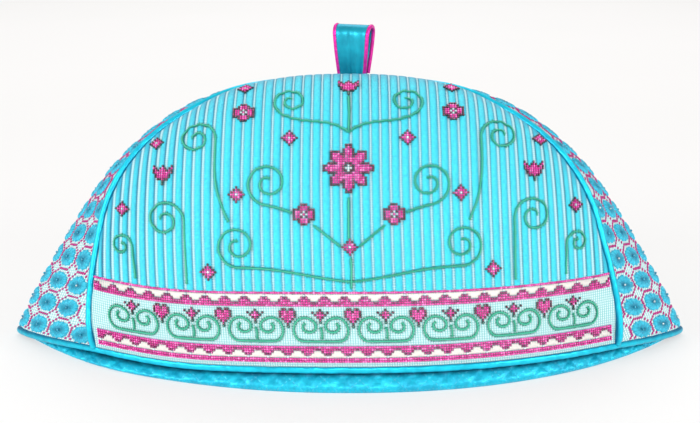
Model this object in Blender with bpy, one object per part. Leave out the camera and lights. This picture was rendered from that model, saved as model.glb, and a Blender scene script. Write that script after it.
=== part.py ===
# A padded needlework tea cosy that stands on the lower edge of its lining.
# Metres, +Z up, the decorated front faces -Y. The origin is at the middle of the footprint.
# Three shell pieces (front panel, back panel and the gusset that arches from one hem corner
# over the top to the other) are parted by corded pipings, and a quilted lining hangs inside.

import math

import bmesh
import bpy
from mathutils import Vector

MM = 0.001

# Footprint of the lining's lower edge, a lens: half width, half depth and its two exponents.
FOOT_HALF_WIDTH = 192.5 * MM
FOOT_HALF_DEPTH = 88.4 * MM
FOOT_ROUND = 2.18
FOOT_POINT = 0.91

# The front panel with its ribs is sewn in a little askew: how far it lies to +X at the floor,
# and how far to -X from the height where that has faded.
SKEW_LOW = 4.4 * MM
SKEW_HIGH = 0.8 * MM
SKEW_HEIGHT = 110.0 * MM

# One half of the gusset from the hem corner (first row) to the middle of the top (last row):
# where the front seam, the gusset's own centre line and the back seam run.
STATION_COLUMNS = ("seam_x", "front_y", "front_z", "ridge_x", "ridge_y", "ridge_z", "back_y", "back_z")
STATIONS = [
    (141.6, -43.2, 7.6, 190.4, 0.0, 3.0, 43.2, 7.6),
    (142.2, -41.2, 25.0, 178.6, 0.0, 26.0, 41.2, 25.0),
    (139.8, -37.2, 45.0, 165.4, 0.0, 47.6, 37.2, 45.0),
    (135.8, -31.5, 64.0, 152.2, 0.0, 68.8, 31.5, 64.0),
    (130.4, -25.0, 84.5, 139.2, 0.0, 87.8, 25.5, 84.5),
    (120.8, -18.5, 102.5, 126.4, 0.0, 103.2, 20.5, 102.0),
    (105.8, -12.3, 118.6, 107.6, 0.0, 120.0, 17.0, 117.0),
    (86.5, -7.6, 131.3, 87.4, 1.6, 132.6, 15.6, 129.4),
    (62.0, -3.0, 142.0, 62.4, 5.6, 140.8, 16.0, 136.8),
    (33.0, 3.2, 145.9, 33.0, 9.4, 144.2, 17.6, 140.6),
    (0.0, 6.2, 146.5, 0.0, 12.4, 145.0, 18.6, 141.6),
]
HEM_PULL = 3.0                   # over so many rows the front seam still follows the skewed hem
FOLD_SHARP = 1.25                # how pointed the gusset folds at the hem, 2 is round
FOLD_ROUND = 2.0                 # and at the top

# Shell cloth, pipings and the room between them.
CLOTH = 2.5 * MM
PIPING_RADIUS = 2.1 * MM
PIPING_ROOM = 3.0 * MM           # from a piping's centre line to the edge of the cloth
HEM_STEPS = 54                   # stretches of the hem piping along the front, and the back
TIP_STEPS = 7                    # and from a seam to a side tip
SEAM_STEPS = 27                  # stretches of a seam piping from one hem to the top
FINE_STEPS = 60                  # the same where only a distance is measured
PIPING_END_ROOM = 0.5 * MM       # between a seam piping's end and the hem piping
EDGE_SPARE = 0.25 * MM           # more of it where the gusset's ends meet the hem at a slant
HEM_INSET = 3.0 * MM             # the hem piping stands this far inside the footprint
HEM_LOW = 3.0 * MM               # height of the hem piping's centre at the side tips
HEM_ARCH = 9.5 * MM              # and how much higher it is in the middle
HEM_DIP = 1.8 * MM               # it sags a little to the left of the front
HEM_DIP_PLACE = -92.0 * MM
HEM_DIP_WIDTH = 42.0 * MM

# Front and back panels: each upright line is a curve from the hem to the seam.
BELLY = 2.5 * MM
HEM_HANDLE = 0.50                # shares of the straight distance from hem to seam
SEAM_HANDLE = 0.24
CROWN_FRONT = 38.0               # degrees that the panel rises from the seam, in the middle
CROWN_BACK = 8.0
CROWN_FALL = 108.0               # and how much less it rises at the side seams
CROWN_POWER = 2.2

# Needlework on the front: upright ribs above a flat border.
MESH = 1.27 * MM
RIB_PITCH = 4 * MESH
RIB_HEIGHT = 0.8 * MM
RIB_COLUMNS = 54                 # half-pitch columns on each side of the middle
RIB_START = 4.0 * MM             # the ribs rise over this length above the border
RIB_END = 6.0 * MM               # and sink over this length below the seam
BORDER_MESHES = 31
BORDER = BORDER_MESHES * MESH    # up from the cloth's lower edge
BORDER_SHARES = (0.0, 0.5)       # rows of points up the border and up the field
FIELD_SHARES = (0.0, 0.2, 0.4, 0.6, 0.78, 0.90, 0.97, 1.0)
BACK_COLUMNS = 20                # on each side of the middle

GUSSET_STEPS = 48
GUSSET_ACROSS = (0.0, 0.10, 0.28, 0.52, 0.76, 1.0)
CUT_SHARE = 0.94                 # of its half width, where its edges lie beside the pipings

# Quilted lining: outline as above, drawn in behind the hem piping.
LINING = 3.6 * MM
LINING_INSET = 5.6 * MM
LINING_FREE = 8.5 * MM           # how far it hangs inside the shell higher up
LINING_TOP = 130.0 * MM
LINING_TIP = 0.8 * MM            # half the width of its blunt side tips
STEEPEST = 1.3                   # its slope in plan is taken as no more than this
LINING_ROUND_TOP = 0.70
LINING_ROOM = 0.4 * MM           # between its outside and the hem piping above
LINING_LOW = 1.2 * MM            # least height of that outside, at the side tips
LINING_COLUMNS = 32              # on each of its two sides
LINING_LEVELS = (26.0, 46.0, 68.0, 88.0, 105.0, 118.0, 127.0)
LINING_EDGE_ROWS = ((0.0, 0.75), (0.30, 1.0), (0.66, 0.60), (1.0, 0.0))
QUILT = 0.6 * MM
FLARE = 5.4 * MM                 # how far the lining bulges out below the hem piping
FLARE_SLANT = 0.78               # but not more than this share of the height it has there
FLARE_LEFT = 3.6 * MM            # it spreads more to the left of the front
FLARE_LEFT_PLACE = -134.0 * MM
FLARE_LEFT_WIDTH = 36.0 * MM

# Ribbon loop: a band in the shape of an upturned U, corded along both edges.
LOOP_TURN = 20.0                 # degrees about the upright
LOOP_CENTRE = Vector((2.2, 12.8, 0.0)) * MM
LOOP_WIDTH = 17.4 * MM
LOOP_CLOTH = 1.2 * MM
LOOP_TOP = 177.0 * MM
LOOP_FOOT = (147.0 * MM, 149.2 * MM)     # lower end at the left and the right edge
LOOP_GAP = 10.2 * MM             # between the middles of its two leaves
LOOP_PINCH = 6.4 * MM            # the same where the leaves come together at the foot
LOOP_SIDE_STEPS = 6
LOOP_TURN_STEPS = 8
LOOP_CORD_RADIUS = 0.95 * MM
LOOP_CORD_ROOM = 0.35 * MM       # between a cord and the ribbon's edge
LOOP_CORD_LIFT = 0.5 * MM        # its foot ends this much above the ribbon's


def curve_value(rows, place):
    # Catmull-Rom through equally spaced rows, each a tuple of numbers
    last = len(rows) - 1
    index = min(int(place), last - 1)
    part = place - index
    before = rows[index - 1] if index > 0 else None
    after = rows[index + 2] if index + 2 <= last else None
    result = []
    for column in range(len(rows[0])):
        b = rows[index][column]
        c = rows[index + 1][column]
        a = before[column] if before else 2 * b - c
        d = after[column] if after else 2 * c - b
        result.append(0.5 * (2 * b + (c - a) * part + (2 * a - 5 * b + 4 * c - d) * part ** 2
                             + (3 * b - a - 3 * c + d) * part ** 3))
    return result


def mirrored_row(row):
    # the row past the middle of the top, with both x columns on the other side
    return tuple(-value if name in ("seam_x", "ridge_x") else value
                 for name, value in zip(STATION_COLUMNS, row))


STATION_RUN = STATIONS + [mirrored_row(STATIONS[-2])]
TOP = len(STATIONS) - 1


def station(along):
    # along 0 is the hem corner and 1 the middle of the top
    place = min(max(along, 0.0), 1.0) * TOP
    values = curve_value(STATION_RUN, place)
    return {name: value * MM for name, value in zip(STATION_COLUMNS, values)}


def skew(z):
    share = min(max(z / SKEW_HEIGHT, 0.0), 1.0)
    return SKEW_LOW * (1.0 - share) ** 2 - SKEW_HIGH * share


def seam_point(along, side, hand):
    # side -1 front or +1 back, hand -1 left or +1 right
    here = station(along)
    if side > 0:
        return Vector((hand * here["seam_x"], here["back_y"], here["back_z"]))
    shift = skew(here["front_z"])
    place = Vector((hand * here["seam_x"] + shift, here["front_y"], here["front_z"]))
    foot = hem_point(hand * STATIONS[0][0] * MM + skew(STATIONS[0][2] * MM), side)
    fade = max(1.0 - along * TOP / HEM_PULL, 0.0) ** 2
    place.y += (foot.y - STATIONS[0][1] * MM) * fade
    place.z += (foot.z - STATIONS[0][2] * MM) * fade
    return place


def gusset_point(along, across):
    # along -1 left hem, 0 top, 1 right hem; across -1 front seam, 0 fold, 1 back seam
    here = station(1.0 - abs(along))
    hand = 1.0 if along >= 0 else -1.0
    reach = abs(across)
    fold = FOLD_SHARP + (FOLD_ROUND - FOLD_SHARP) * (1.0 - abs(along))
    blend = reach ** fold
    seam = seam_point(1.0 - abs(along), -1.0 if across < 0 else 1.0, hand)
    x = hand * here["ridge_x"] + (seam.x - hand * here["ridge_x"]) * blend
    y = here["ridge_y"] + (seam.y - here["ridge_y"]) * reach
    z = here["ridge_z"] + (seam.z - here["ridge_z"]) * blend
    return Vector((x, y, z))


def lens(x, half_width, half_depth, power):
    return half_depth * max(1.0 - abs(x / half_width) ** FOOT_ROUND, 0.0) ** power


def hem_height(x, side):
    share = max(1.0 - (x / FOOT_HALF_WIDTH) ** 2, 0.0)
    dip = HEM_DIP * math.exp(-((x - HEM_DIP_PLACE) / HEM_DIP_WIDTH) ** 2) if side < 0 else 0.0
    return HEM_LOW + HEM_ARCH * share ** 0.6 - dip


def hem_point(x, side):
    depth = lens(x, FOOT_HALF_WIDTH, FOOT_HALF_DEPTH, FOOT_POINT) - HEM_INSET
    return Vector((x, side * depth, hem_height(x, side)))


def bisect(low, high, is_low):
    for _ in range(40):
        middle = 0.5 * (low + high)
        if is_low(middle):
            low = middle
        else:
            high = middle
    return 0.5 * (low + high)


def seam_above(x, side):
    # the seam point over a panel column: past the widest station the seam only draws in
    along = bisect(1.0 / TOP, 1.0, lambda a: station(a)["seam_x"] > abs(x))
    return seam_point(along, side, 1.0 if x >= 0 else -1.0)


class PanelColumn:
    # one upright line of a panel, a cubic curve from the hem up to the seam
    def __init__(self, x, side):
        self.x = x
        self.askew = side < 0
        foot_x = x + skew(STATIONS[0][2] * MM) if self.askew else x
        hem = hem_point(foot_x, side)
        seam = seam_above(x, side)
        length = (seam - hem).length
        crown = CROWN_FRONT if side < 0 else CROWN_BACK
        rise = math.radians(crown - CROWN_FALL * (abs(x) / STATIONS[0][0] / MM) ** CROWN_POWER)
        up = Vector((0.0, side * BELLY, HEM_HANDLE * length))
        out = Vector((0.0, side * math.cos(rise), math.sin(rise))) * SEAM_HANDLE * length
        self.points = (hem, hem + up, seam + out, seam)

    def at(self, share):
        a, b, c, d = self.points
        rest = 1.0 - share
        place = a * rest ** 3 + b * 3 * rest ** 2 * share + c * 3 * rest * share ** 2 + d * share ** 3
        place.x = self.x + (skew(place.z) if self.askew else 0.0)
        return place


def seam_line(side, steps):
    # one seam from the left hem corner over the top to the right one
    return [seam_point(1.0 - abs(i / steps - 1.0), side, -1.0 if i < steps else 1.0)
            for i in range(2 * steps + 1)]


def hem_line(steps, tip_steps):
    # the closed line of the hem: front from left to right, then the back
    line = []
    for side in (-1.0, 1.0):
        for i in range(tip_steps):
            line.append(gusset_point(side, side * i / tip_steps))
        start = seam_point(0.0, side, side).x
        end = seam_point(0.0, side, -side).x
        for i in range(steps + 1):
            line.append(hem_point(start + (end - start) * i / steps, side))
        for i in range(tip_steps - 1, 0, -1):
            line.append(gusset_point(-side, side * i / tip_steps))
    return line


def distance_to(point, line):
    best = 1.0
    for a, b in zip(line, line[1:]):
        span = b - a
        part = min(max((point - a).dot(span) / span.length_squared, 0.0), 1.0)
        best = min(best, (point - a - span * part).length)
    return best


def across_normal(du, dv):
    return du.cross(dv).normalized()


def closed_sheet(name, outer, inner, wrap, material):
    # two matching grids of points become one closed solid
    body = bmesh.new()
    grids = [[[body.verts.new(point) for point in row] for row in grid]
             for grid in (outer, inner)]
    rows = len(outer)
    columns = len(outer[0])
    spans = columns if wrap else columns - 1
    front, back = grids
    for r in range(rows - 1):
        for c in range(spans):
            d = (c + 1) % columns
            body.faces.new((front[r][c], front[r][d], front[r + 1][d], front[r + 1][c]))
            body.faces.new((back[r][c], back[r + 1][c], back[r + 1][d], back[r][d]))
    for c in range(spans):
        d = (c + 1) % columns
        body.faces.new((front[0][d], front[0][c], back[0][c], back[0][d]))
        if not wrap:
            body.faces.new((front[-1][c], front[-1][d], back[-1][d], back[-1][c]))
    if wrap:
        cap_ring(body, front[-1], False)
        cap_ring(body, back[-1], True)
    else:
        for r in range(rows - 1):
            body.faces.new((front[r][0], front[r + 1][0], back[r + 1][0], back[r][0]))
            body.faces.new((front[r + 1][-1], front[r][-1], back[r][-1], back[r + 1][-1]))
    bmesh.ops.recalc_face_normals(body, faces=body.faces)
    return mesh_object(name, body, material)


def cap_ring(body, ring, flip):
    # a lens-shaped ring is closed straight across, each front point to the back one
    half = len(ring) // 2
    for i in range(half - 1):
        corners = [ring[i], ring[i + 1], ring[-2 - i], ring[-1 - i]]
        corners = list(dict.fromkeys(corners))
        if flip:
            corners.reverse()
        body.faces.new(corners)


def mesh_object(name, body, material):
    mesh = bpy.data.meshes.new(name)
    body.to_mesh(mesh)
    body.free()
    mesh.shade_smooth()
    mesh.set_sharp_from_angle(angle=math.radians(50))
    mesh.materials.append(material)
    item = bpy.data.objects.new(name, mesh)
    bpy.context.scene.collection.objects.link(item)
    return item


def cord(name, line, radius, closed, material):
    data = bpy.data.curves.new(name, "CURVE")
    data.dimensions = "3D"
    data.bevel_depth = radius
    data.bevel_resolution = 1
    data.use_fill_caps = not closed
    spline = data.splines.new("POLY")
    spline.points.add(len(line) - 1)
    for point, place in zip(spline.points, line):
        point.co = (*place, 1.0)
    spline.use_cyclic_u = closed
    data.materials.append(material)
    item = bpy.data.objects.new(name, data)
    bpy.context.scene.collection.objects.link(item)
    return item


def finish(name, colour, roughness):
    material = bpy.data.materials.new(name)
    material.use_nodes = True
    shader = material.node_tree.nodes["Principled BSDF"]
    shader.inputs["Base Color"].default_value = (*colour, 1.0)
    shader.inputs["Roughness"].default_value = roughness
    shader.inputs["Metallic"].default_value = 0.0
    return material


def panel_columns(columns_x, side, seam, hem):
    # each column with the shares at which the cloth starts and ends clear of the pipings
    result = []
    for x in columns_x:
        column = PanelColumn(x, side)
        start = bisect(0.0, 0.3, lambda s: distance_to(column.at(s), hem) < PIPING_ROOM)
        end = bisect(0.25, 1.0, lambda s: distance_to(column.at(s), seam) > PIPING_ROOM)
        result.append((column, start, end))
    return result


def length_table(column, start, end):
    steps = 40
    shares = [start + (end - start) * i / steps for i in range(steps + 1)]
    lengths = [0.0]
    for a, b in zip(shares, shares[1:]):
        lengths.append(lengths[-1] + (column.at(b) - column.at(a)).length)
    return shares, lengths


def share_at(table, length):
    shares, lengths = table
    for i in range(len(lengths) - 1):
        if length <= lengths[i + 1]:
            part = (length - lengths[i]) / (lengths[i + 1] - lengths[i])
            return shares[i] + (shares[i + 1] - shares[i]) * part
    return shares[-1]


def build_panel(name, side, columns_x, ribbed, material):
    seam = seam_line(side, FINE_STEPS)
    hem = hem_line(HEM_STEPS, TIP_STEPS)
    columns = panel_columns(columns_x, side, seam, hem)
    tables = [length_table(*entry) for entry in columns]
    middle = []
    heights = []
    for entry, table in zip(columns, tables):
        total = table[1][-1]
        border = min(BORDER, 0.6 * total)
        lengths = [border * share for share in BORDER_SHARES]
        lengths += [border + (total - border) * share for share in FIELD_SHARES]
        middle.append([entry[0].at(share_at(table, length)) for length in lengths])
        heights.append([(length, total) for length in lengths])
    outer = []
    inner = []
    rows = len(BORDER_SHARES) + len(FIELD_SHARES)
    for r in range(rows):
        outer_row = []
        inner_row = []
        for c, x in enumerate(columns_x):
            left = middle[max(c - 1, 0)][r]
            right = middle[min(c + 1, len(columns_x) - 1)][r]
            low = middle[c][max(r - 1, 0)]
            high = middle[c][min(r + 1, rows - 1)]
            normal = across_normal(right - left, high - low) * (1.0 if side < 0 else -1.0)
            rise = rib_rise(x, *heights[c][r]) if ribbed else 0.0
            outer_row.append(middle[c][r] + normal * (0.5 * CLOTH + rise))
            inner_row.append(middle[c][r] - normal * 0.5 * CLOTH)
        outer.append(outer_row)
        inner.append(inner_row)
    return closed_sheet(name, outer, inner, False, material)


def rib_rise(x, length, total):
    # full height on a rib's middle, none between ribs, on the border or close to the seam
    wave = 0.5 + 0.5 * math.cos(2.0 * math.pi * x / RIB_PITCH)
    above_border = min(max((length - BORDER) / RIB_START, 0.0), 1.0)
    below_seam = min((total - length) / RIB_END, 1.0)
    return RIB_HEIGHT * wave * above_border * below_seam


def front_columns():
    inside = [i * 0.5 * RIB_PITCH for i in range(-RIB_COLUMNS, RIB_COLUMNS + 1)]
    edge = STATIONS[0][0] * MM - PIPING_ROOM
    return [-edge] + inside + [edge]


def back_columns():
    edge = STATIONS[0][0] * MM - PIPING_ROOM
    return [edge * math.sin(0.5 * math.pi * i / BACK_COLUMNS)
            for i in range(-BACK_COLUMNS, BACK_COLUMNS + 1)]


def build_gusset(material):
    # cut clear of the two seams at its sides and of the hem at its two ends
    seams = {side: seam_line(side, FINE_STEPS) for side in (-1.0, 1.0)}
    reaches = [-value for value in reversed(GUSSET_ACROSS[1:])] + list(GUSSET_ACROSS)
    middle = []
    hem = hem_line(HEM_STEPS, 2 * TIP_STEPS)
    ends = {hand: [gusset_end(hand, across, hem) for across in reaches] for hand in (-1.0, 1.0)}
    for i in range(GUSSET_STEPS + 1):
        along = 2.0 * i / GUSSET_STEPS - 1.0
        row = [gusset_cut(along * ends[-1.0 if along < 0 else 1.0][c], across, seams)
               for c, across in enumerate(reaches)]
        middle.append(row)
    outer = []
    inner = []
    for r in range(GUSSET_STEPS + 1):
        outer_row = []
        inner_row = []
        for c in range(len(reaches)):
            before = middle[max(r - 1, 0)][c]
            after = middle[min(r + 1, GUSSET_STEPS)][c]
            left = middle[r][max(c - 1, 0)]
            right = middle[r][min(c + 1, len(reaches) - 1)]
            normal = across_normal(after - before, right - left)
            outer_row.append(middle[r][c] + normal * 0.5 * CLOTH)
            inner_row.append(middle[r][c] - normal * 0.5 * CLOTH)
        outer.append(outer_row)
        inner.append(inner_row)
    return closed_sheet("gusset", outer, inner, False, material)


def gusset_cut(along, across, seams):
    # a point of the gusset, its two long edges drawn in clear of the seam pipings
    side = -1.0 if across < 0 else 1.0
    limit = bisect(0.3, 1.0, lambda a: distance_to(gusset_point(along, side * a),
                                                   seams[side]) > PIPING_ROOM)
    return gusset_point(along, across * limit)


def gusset_end(hand, across, hem):
    # how far along one line of the gusset runs before it meets the room of the hem piping
    return bisect(0.9, 1.0, lambda a: distance_to(gusset_point(hand * a, CUT_SHARE * across),
                                                  hem) > PIPING_ROOM + EDGE_SPARE)


def ridge_width(z):
    along = bisect(0.0, 1.0, lambda a: station(a)["ridge_z"] < z)
    return station(along)["ridge_x"]


def centre_depth(z, side):
    column = PanelColumn(0.0, side)
    share = bisect(0.0, 0.75, lambda s: column.at(s).z < z)
    return abs(column.at(share).y)


def lens_inset(x, half_width, half_depth, power, inset):
    # depth of a lens drawn in by the same distance all round
    step = 1.0 * MM
    slope = (lens(x + step, half_width, half_depth, power)
             - lens(x - step, half_width, half_depth, power)) / (2.0 * step)
    slant = math.hypot(1.0, min(abs(slope), STEEPEST))
    return lens(x, half_width, half_depth, power) - inset * slant


def lens_ring(half_width, half_depths, power, inset, height_of):
    # a closed ring of points: front from left to right, then the back from right to left
    tip = LINING_TIP
    ring = []
    for side, half_depth in zip((-1.0, 1.0), half_depths):
        reach = bisect(0.0, half_width,
                       lambda x: lens_inset(x, half_width, half_depth, power, inset) > tip)
        for i in range(LINING_COLUMNS):
            turn = math.pi * (i / (LINING_COLUMNS - 1.0) - 0.5)
            x = -side * reach * math.sin(turn)
            depth = lens_inset(x, half_width, half_depth, power, inset)
            ring.append(Vector((x, side * depth, height_of(x, side))))
    return ring


def quilted(ring, row, amount):
    # every other point of a ring stands out, and the next ring up takes the others
    middle = sum(ring, Vector()) / len(ring)
    result = []
    for i, point in enumerate(ring):
        away = Vector((0.25 * (point.x - middle.x), point.y - middle.y, 0.0)).normalized()
        result.append(point + away * (amount if (i + row) % 2 == 0 else 0.0))
    return result


def room_under_hem(x, side):
    return max(hem_height(x, side) - PIPING_RADIUS - LINING_ROOM, LINING_LOW)


def flare_at(x, side):
    spread = min(FLARE, FLARE_SLANT * room_under_hem(x, side))
    if side > 0:
        return spread
    return spread + FLARE_LEFT * math.exp(-((x - FLARE_LEFT_PLACE) / FLARE_LEFT_WIDTH) ** 2)


def lining_rings(depth_in):
    # the lower rows bulge out under the hem piping, the upper ones hang inside the shell
    rings = []
    base = (FOOT_HALF_DEPTH, FOOT_HALF_DEPTH)
    for row, (height, flare) in enumerate(LINING_EDGE_ROWS):
        plain = lens_ring(FOOT_HALF_WIDTH, base, FOOT_POINT, LINING_INSET + depth_in,
                          lambda x, side: height * room_under_hem(x, side))
        for point in plain:
            side = math.copysign(1.0, point.y)
            point.y += side * flare_at(point.x, side) * flare
        rings.append(plain if row in (0, 3) else quilted(plain, row, QUILT))
    for row, level in enumerate(LINING_LEVELS):
        z = level * MM
        share = z / LINING_TOP
        inset = LINING_INSET + (LINING_FREE - LINING_INSET) * min(4.0 * share, 1.0) + depth_in
        power = FOOT_POINT + (LINING_ROUND_TOP - FOOT_POINT) * share
        depths = tuple(centre_depth(z, side) + HEM_INSET for side in (-1.0, 1.0))
        ring = lens_ring(ridge_width(z), depths, power, inset, lambda x, side: z)
        rings.append(quilted(ring, row, QUILT))
    return rings


def build_lining(material):
    outer = lining_rings(0.0)
    inner = lining_rings(LINING)
    for point in inner[-1]:
        point.z -= LINING
    return closed_sheet("lining", outer, inner, True, material)


def loop_path(foot):
    # the band's middle line in its own plane: pairs of (depth, height), front foot to back foot
    half = 0.5 * LOOP_GAP
    turn_height = LOOP_TOP - half - 0.5 * LOOP_CLOTH
    path = []
    for i in range(LOOP_SIDE_STEPS):
        share = i / LOOP_SIDE_STEPS
        spread = math.sin(0.5 * math.pi * share) ** 1.2
        depth = 0.5 * LOOP_PINCH + (half - 0.5 * LOOP_PINCH) * spread
        path.append((-depth, foot + (turn_height - foot) * share))
    for i in range(LOOP_TURN_STEPS + 1):
        angle = math.pi * i / LOOP_TURN_STEPS
        path.append((-half * math.cos(angle), turn_height + half * math.sin(angle)))
    path += [(-depth, height) for depth, height in reversed(path[:LOOP_SIDE_STEPS])]
    return path


def loop_place(width, depth, height):
    turn = math.radians(LOOP_TURN)
    x = width * math.cos(turn) + depth * math.sin(turn)
    y = depth * math.cos(turn) - width * math.sin(turn)
    return LOOP_CENTRE + Vector((x, y, height))


def loop_foot(width):
    share = width / LOOP_WIDTH + 0.5
    return LOOP_FOOT[0] + (LOOP_FOOT[1] - LOOP_FOOT[0]) * share


def build_loop(ribbon, trim):
    across = [LOOP_WIDTH * (i / 2.0 - 0.5) for i in range(3)]
    outer = []
    inner = []
    for width in across:
        path = loop_path(loop_foot(width))
        outer_row = []
        inner_row = []
        for i, (depth, height) in enumerate(path):
            before = path[max(i - 1, 0)]
            after = path[min(i + 1, len(path) - 1)]
            along = Vector((after[0] - before[0], after[1] - before[1])).normalized()
            out = Vector((-along.y, along.x)) * 0.5 * LOOP_CLOTH
            outer_row.append(loop_place(width, depth + out.x, height + out.y))
            inner_row.append(loop_place(width, depth - out.x, height - out.y))
        outer.append(outer_row)
        inner.append(inner_row)
    closed_sheet("loop_ribbon", outer, inner, False, ribbon)
    edge = 0.5 * LOOP_WIDTH + LOOP_CORD_RADIUS + LOOP_CORD_ROOM
    for name, width in (("loop_cord_left", -edge), ("loop_cord_right", edge)):
        path = loop_path(loop_foot(width) + LOOP_CORD_LIFT)
        line = [loop_place(width, depth, height) for depth, height in path]
        cord(name, line, LOOP_CORD_RADIUS, False, trim)


def build_pipings(satin):
    hem = hem_line(HEM_STEPS, TIP_STEPS)
    cord("hem_piping", hem, PIPING_RADIUS, True, satin)
    clear = 2.0 * PIPING_RADIUS + PIPING_END_ROOM
    for name, side in (("front_seam_piping", -1.0), ("back_seam_piping", 1.0)):
        line = seam_line(side, SEAM_STEPS)
        for end, inward in ((0, 1), (-1, -2)):
            away = (line[inward] - line[end]).normalized()
            line[end] = line[end] + away * clear
        cord(name, line, PIPING_RADIUS, False, satin)


def build_cosy():
    for item in list(bpy.data.objects):
        bpy.data.objects.remove(item, do_unlink=True)
    needlework = finish("turquoise_needlework", (0.05, 0.55, 0.72), 0.55)
    plain_work = finish("turquoise_ribbed_cloth", (0.05, 0.50, 0.68), 0.60)
    canvas = finish("pale_mint_canvas", (0.58, 0.82, 0.80), 0.75)
    satin = finish("turquoise_satin", (0.01, 0.35, 0.58), 0.32)
    quilted_satin = finish("quilted_turquoise_satin", (0.01, 0.36, 0.60), 0.35)
    ribbon = finish("teal_ribbon", (0.02, 0.33, 0.50), 0.35)
    trim = finish("pink_cord", (0.80, 0.03, 0.35), 0.40)
    build_panel("front_panel", -1.0, front_columns(), True, needlework)
    build_panel("back_panel", 1.0, back_columns(), False, plain_work)
    build_gusset(canvas)
    build_pipings(satin)
    build_lining(quilted_satin)
    build_loop(ribbon, trim)


build_cosy()
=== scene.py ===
import math

import bpy
import numpy as np
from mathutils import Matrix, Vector


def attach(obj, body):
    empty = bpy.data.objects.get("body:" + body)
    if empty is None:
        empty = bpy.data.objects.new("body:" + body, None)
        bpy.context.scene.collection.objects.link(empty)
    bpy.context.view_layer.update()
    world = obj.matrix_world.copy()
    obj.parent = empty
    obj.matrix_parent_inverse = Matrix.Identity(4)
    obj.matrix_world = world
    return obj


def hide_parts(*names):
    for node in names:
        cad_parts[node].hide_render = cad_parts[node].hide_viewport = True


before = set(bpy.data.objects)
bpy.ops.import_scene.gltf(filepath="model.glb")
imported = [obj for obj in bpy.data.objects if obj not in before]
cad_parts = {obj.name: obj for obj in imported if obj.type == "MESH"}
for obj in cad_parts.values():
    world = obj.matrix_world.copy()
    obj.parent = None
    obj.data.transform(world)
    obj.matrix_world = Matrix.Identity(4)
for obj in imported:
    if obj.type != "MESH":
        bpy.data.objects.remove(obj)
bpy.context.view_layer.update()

mm = 0.001
cell = 1.27 * mm                 # one mesh of the needlework canvas
w = cell / mm                    # the same in millimetres
cosyPieces = []                  # every finished piece with its slot and the nodes it stands for


# the cosy's shape in millimetres, with the same rules and sizes as its CAD model
shellPlan = {
    "footHalfWidth": 192.5, "footHalfDepth": 88.4, "footRound": 2.18, "footPoint": 0.91,
    "skewLow": 4.4, "skewHigh": 0.8, "skewHeight": 110.0, "hemPull": 3.0,
    "foldSharp": 1.25, "foldRound": 2.0, "cloth": 2.5, "pipingRadius": 2.1, "edgeRoom": 3.0,
    "hemInset": 3.0, "hemLow": 3.0, "hemArch": 9.5, "archPower": 0.6,
    "hemDip": 1.8, "dipPlace": -92.0, "dipWidth": 42.0, "belly": 2.5, "hemHandle": 0.50, "seamHandle": 0.24,
    "crownFront": 38.0, "crownBack": 8.0, "crownFall": 108.0, "crownPower": 2.2,
}
# seam x, front y and z, fold x, y and z, back y and z, from the hem corner to the middle of the top
stationRows = np.array([
    (141.6, -43.2, 7.6, 190.4, 0.0, 3.0, 43.2, 7.6),
    (142.2, -41.2, 25.0, 178.6, 0.0, 26.0, 41.2, 25.0),
    (139.8, -37.2, 45.0, 165.4, 0.0, 47.6, 37.2, 45.0),
    (135.8, -31.5, 64.0, 152.2, 0.0, 68.8, 31.5, 64.0),
    (130.4, -25.0, 84.5, 139.2, 0.0, 87.8, 25.5, 84.5),
    (120.8, -18.5, 102.5, 126.4, 0.0, 103.2, 20.5, 102.0),
    (105.8, -12.3, 118.6, 107.6, 0.0, 120.0, 17.0, 117.0),
    (86.5, -7.6, 131.3, 87.4, 1.6, 132.6, 15.6, 129.4),
    (62.0, -3.0, 142.0, 62.4, 5.6, 140.8, 16.0, 136.8),
    (33.0, 3.2, 145.9, 33.0, 9.4, 144.2, 17.6, 140.6),
    (0.0, 6.2, 146.5, 0.0, 12.4, 145.0, 18.6, 141.6),
]) * mm
pastTop = stationRows[-2] * np.array([-1, 1, 1, -1, 1, 1, 1, 1])
stationRun = np.vstack([stationRows, pastTop])
topPlace = len(stationRows) - 1


def points(x, y, z):
    return np.stack(np.broadcast_arrays(x, y, z), axis=-1).astype(float)


def unit(vectors):
    return vectors / np.maximum(np.linalg.norm(vectors, axis=-1, keepdims=True), 1e-12)


def lengthsAlong(line, axis=0):
    # how far every place of a line, or of a grid's lines, lies from its first one
    steps = np.linalg.norm(np.diff(line, axis=axis), axis=-1)
    return np.concatenate([np.zeros_like(steps.take([0], axis)), np.cumsum(steps, axis=axis)], axis=axis)


def softly(a, b, c, d, t):
    # a soft curve from b to c, on its way from a to d
    return 0.5 * (2 * b + (c - a) * t + (2 * a - 5 * b + 4 * c - d) * t ** 2
                  + (3 * b - a - 3 * c + d) * t ** 3)


def bent(a, b, c, d, t):
    # a line from a to d that sets out towards b and arrives from c
    return a * (1 - t) ** 3 + 3 * b * (1 - t) ** 2 * t + 3 * c * (1 - t) * t ** 2 + d * t ** 3


def stationAt(along):
    # the gusset's section from the hem corner, 0, to the middle of the top, 1
    place = np.clip(np.asarray(along, float), 0.0, 1.0) * topPlace
    index = np.minimum(place.astype(int), topPlace)
    part = (place - index)[..., None]
    b = stationRun[index]
    c = stationRun[np.minimum(index + 1, topPlace + 1)]
    a = np.where((index > 0)[..., None], stationRun[np.maximum(index - 1, 0)], 2 * b - c)
    d = np.where((index + 2 <= topPlace + 1)[..., None],
                 stationRun[np.minimum(index + 2, topPlace + 1)], 2 * c - b)
    return softly(a, b, c, d, part)


def skewAt(z):
    # how far the front leans to one side at each height
    share = np.clip(z / (shellPlan["skewHeight"] * mm), 0.0, 1.0)
    return (shellPlan["skewLow"] * (1 - share) ** 2 - shellPlan["skewHigh"] * share) * mm


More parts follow.
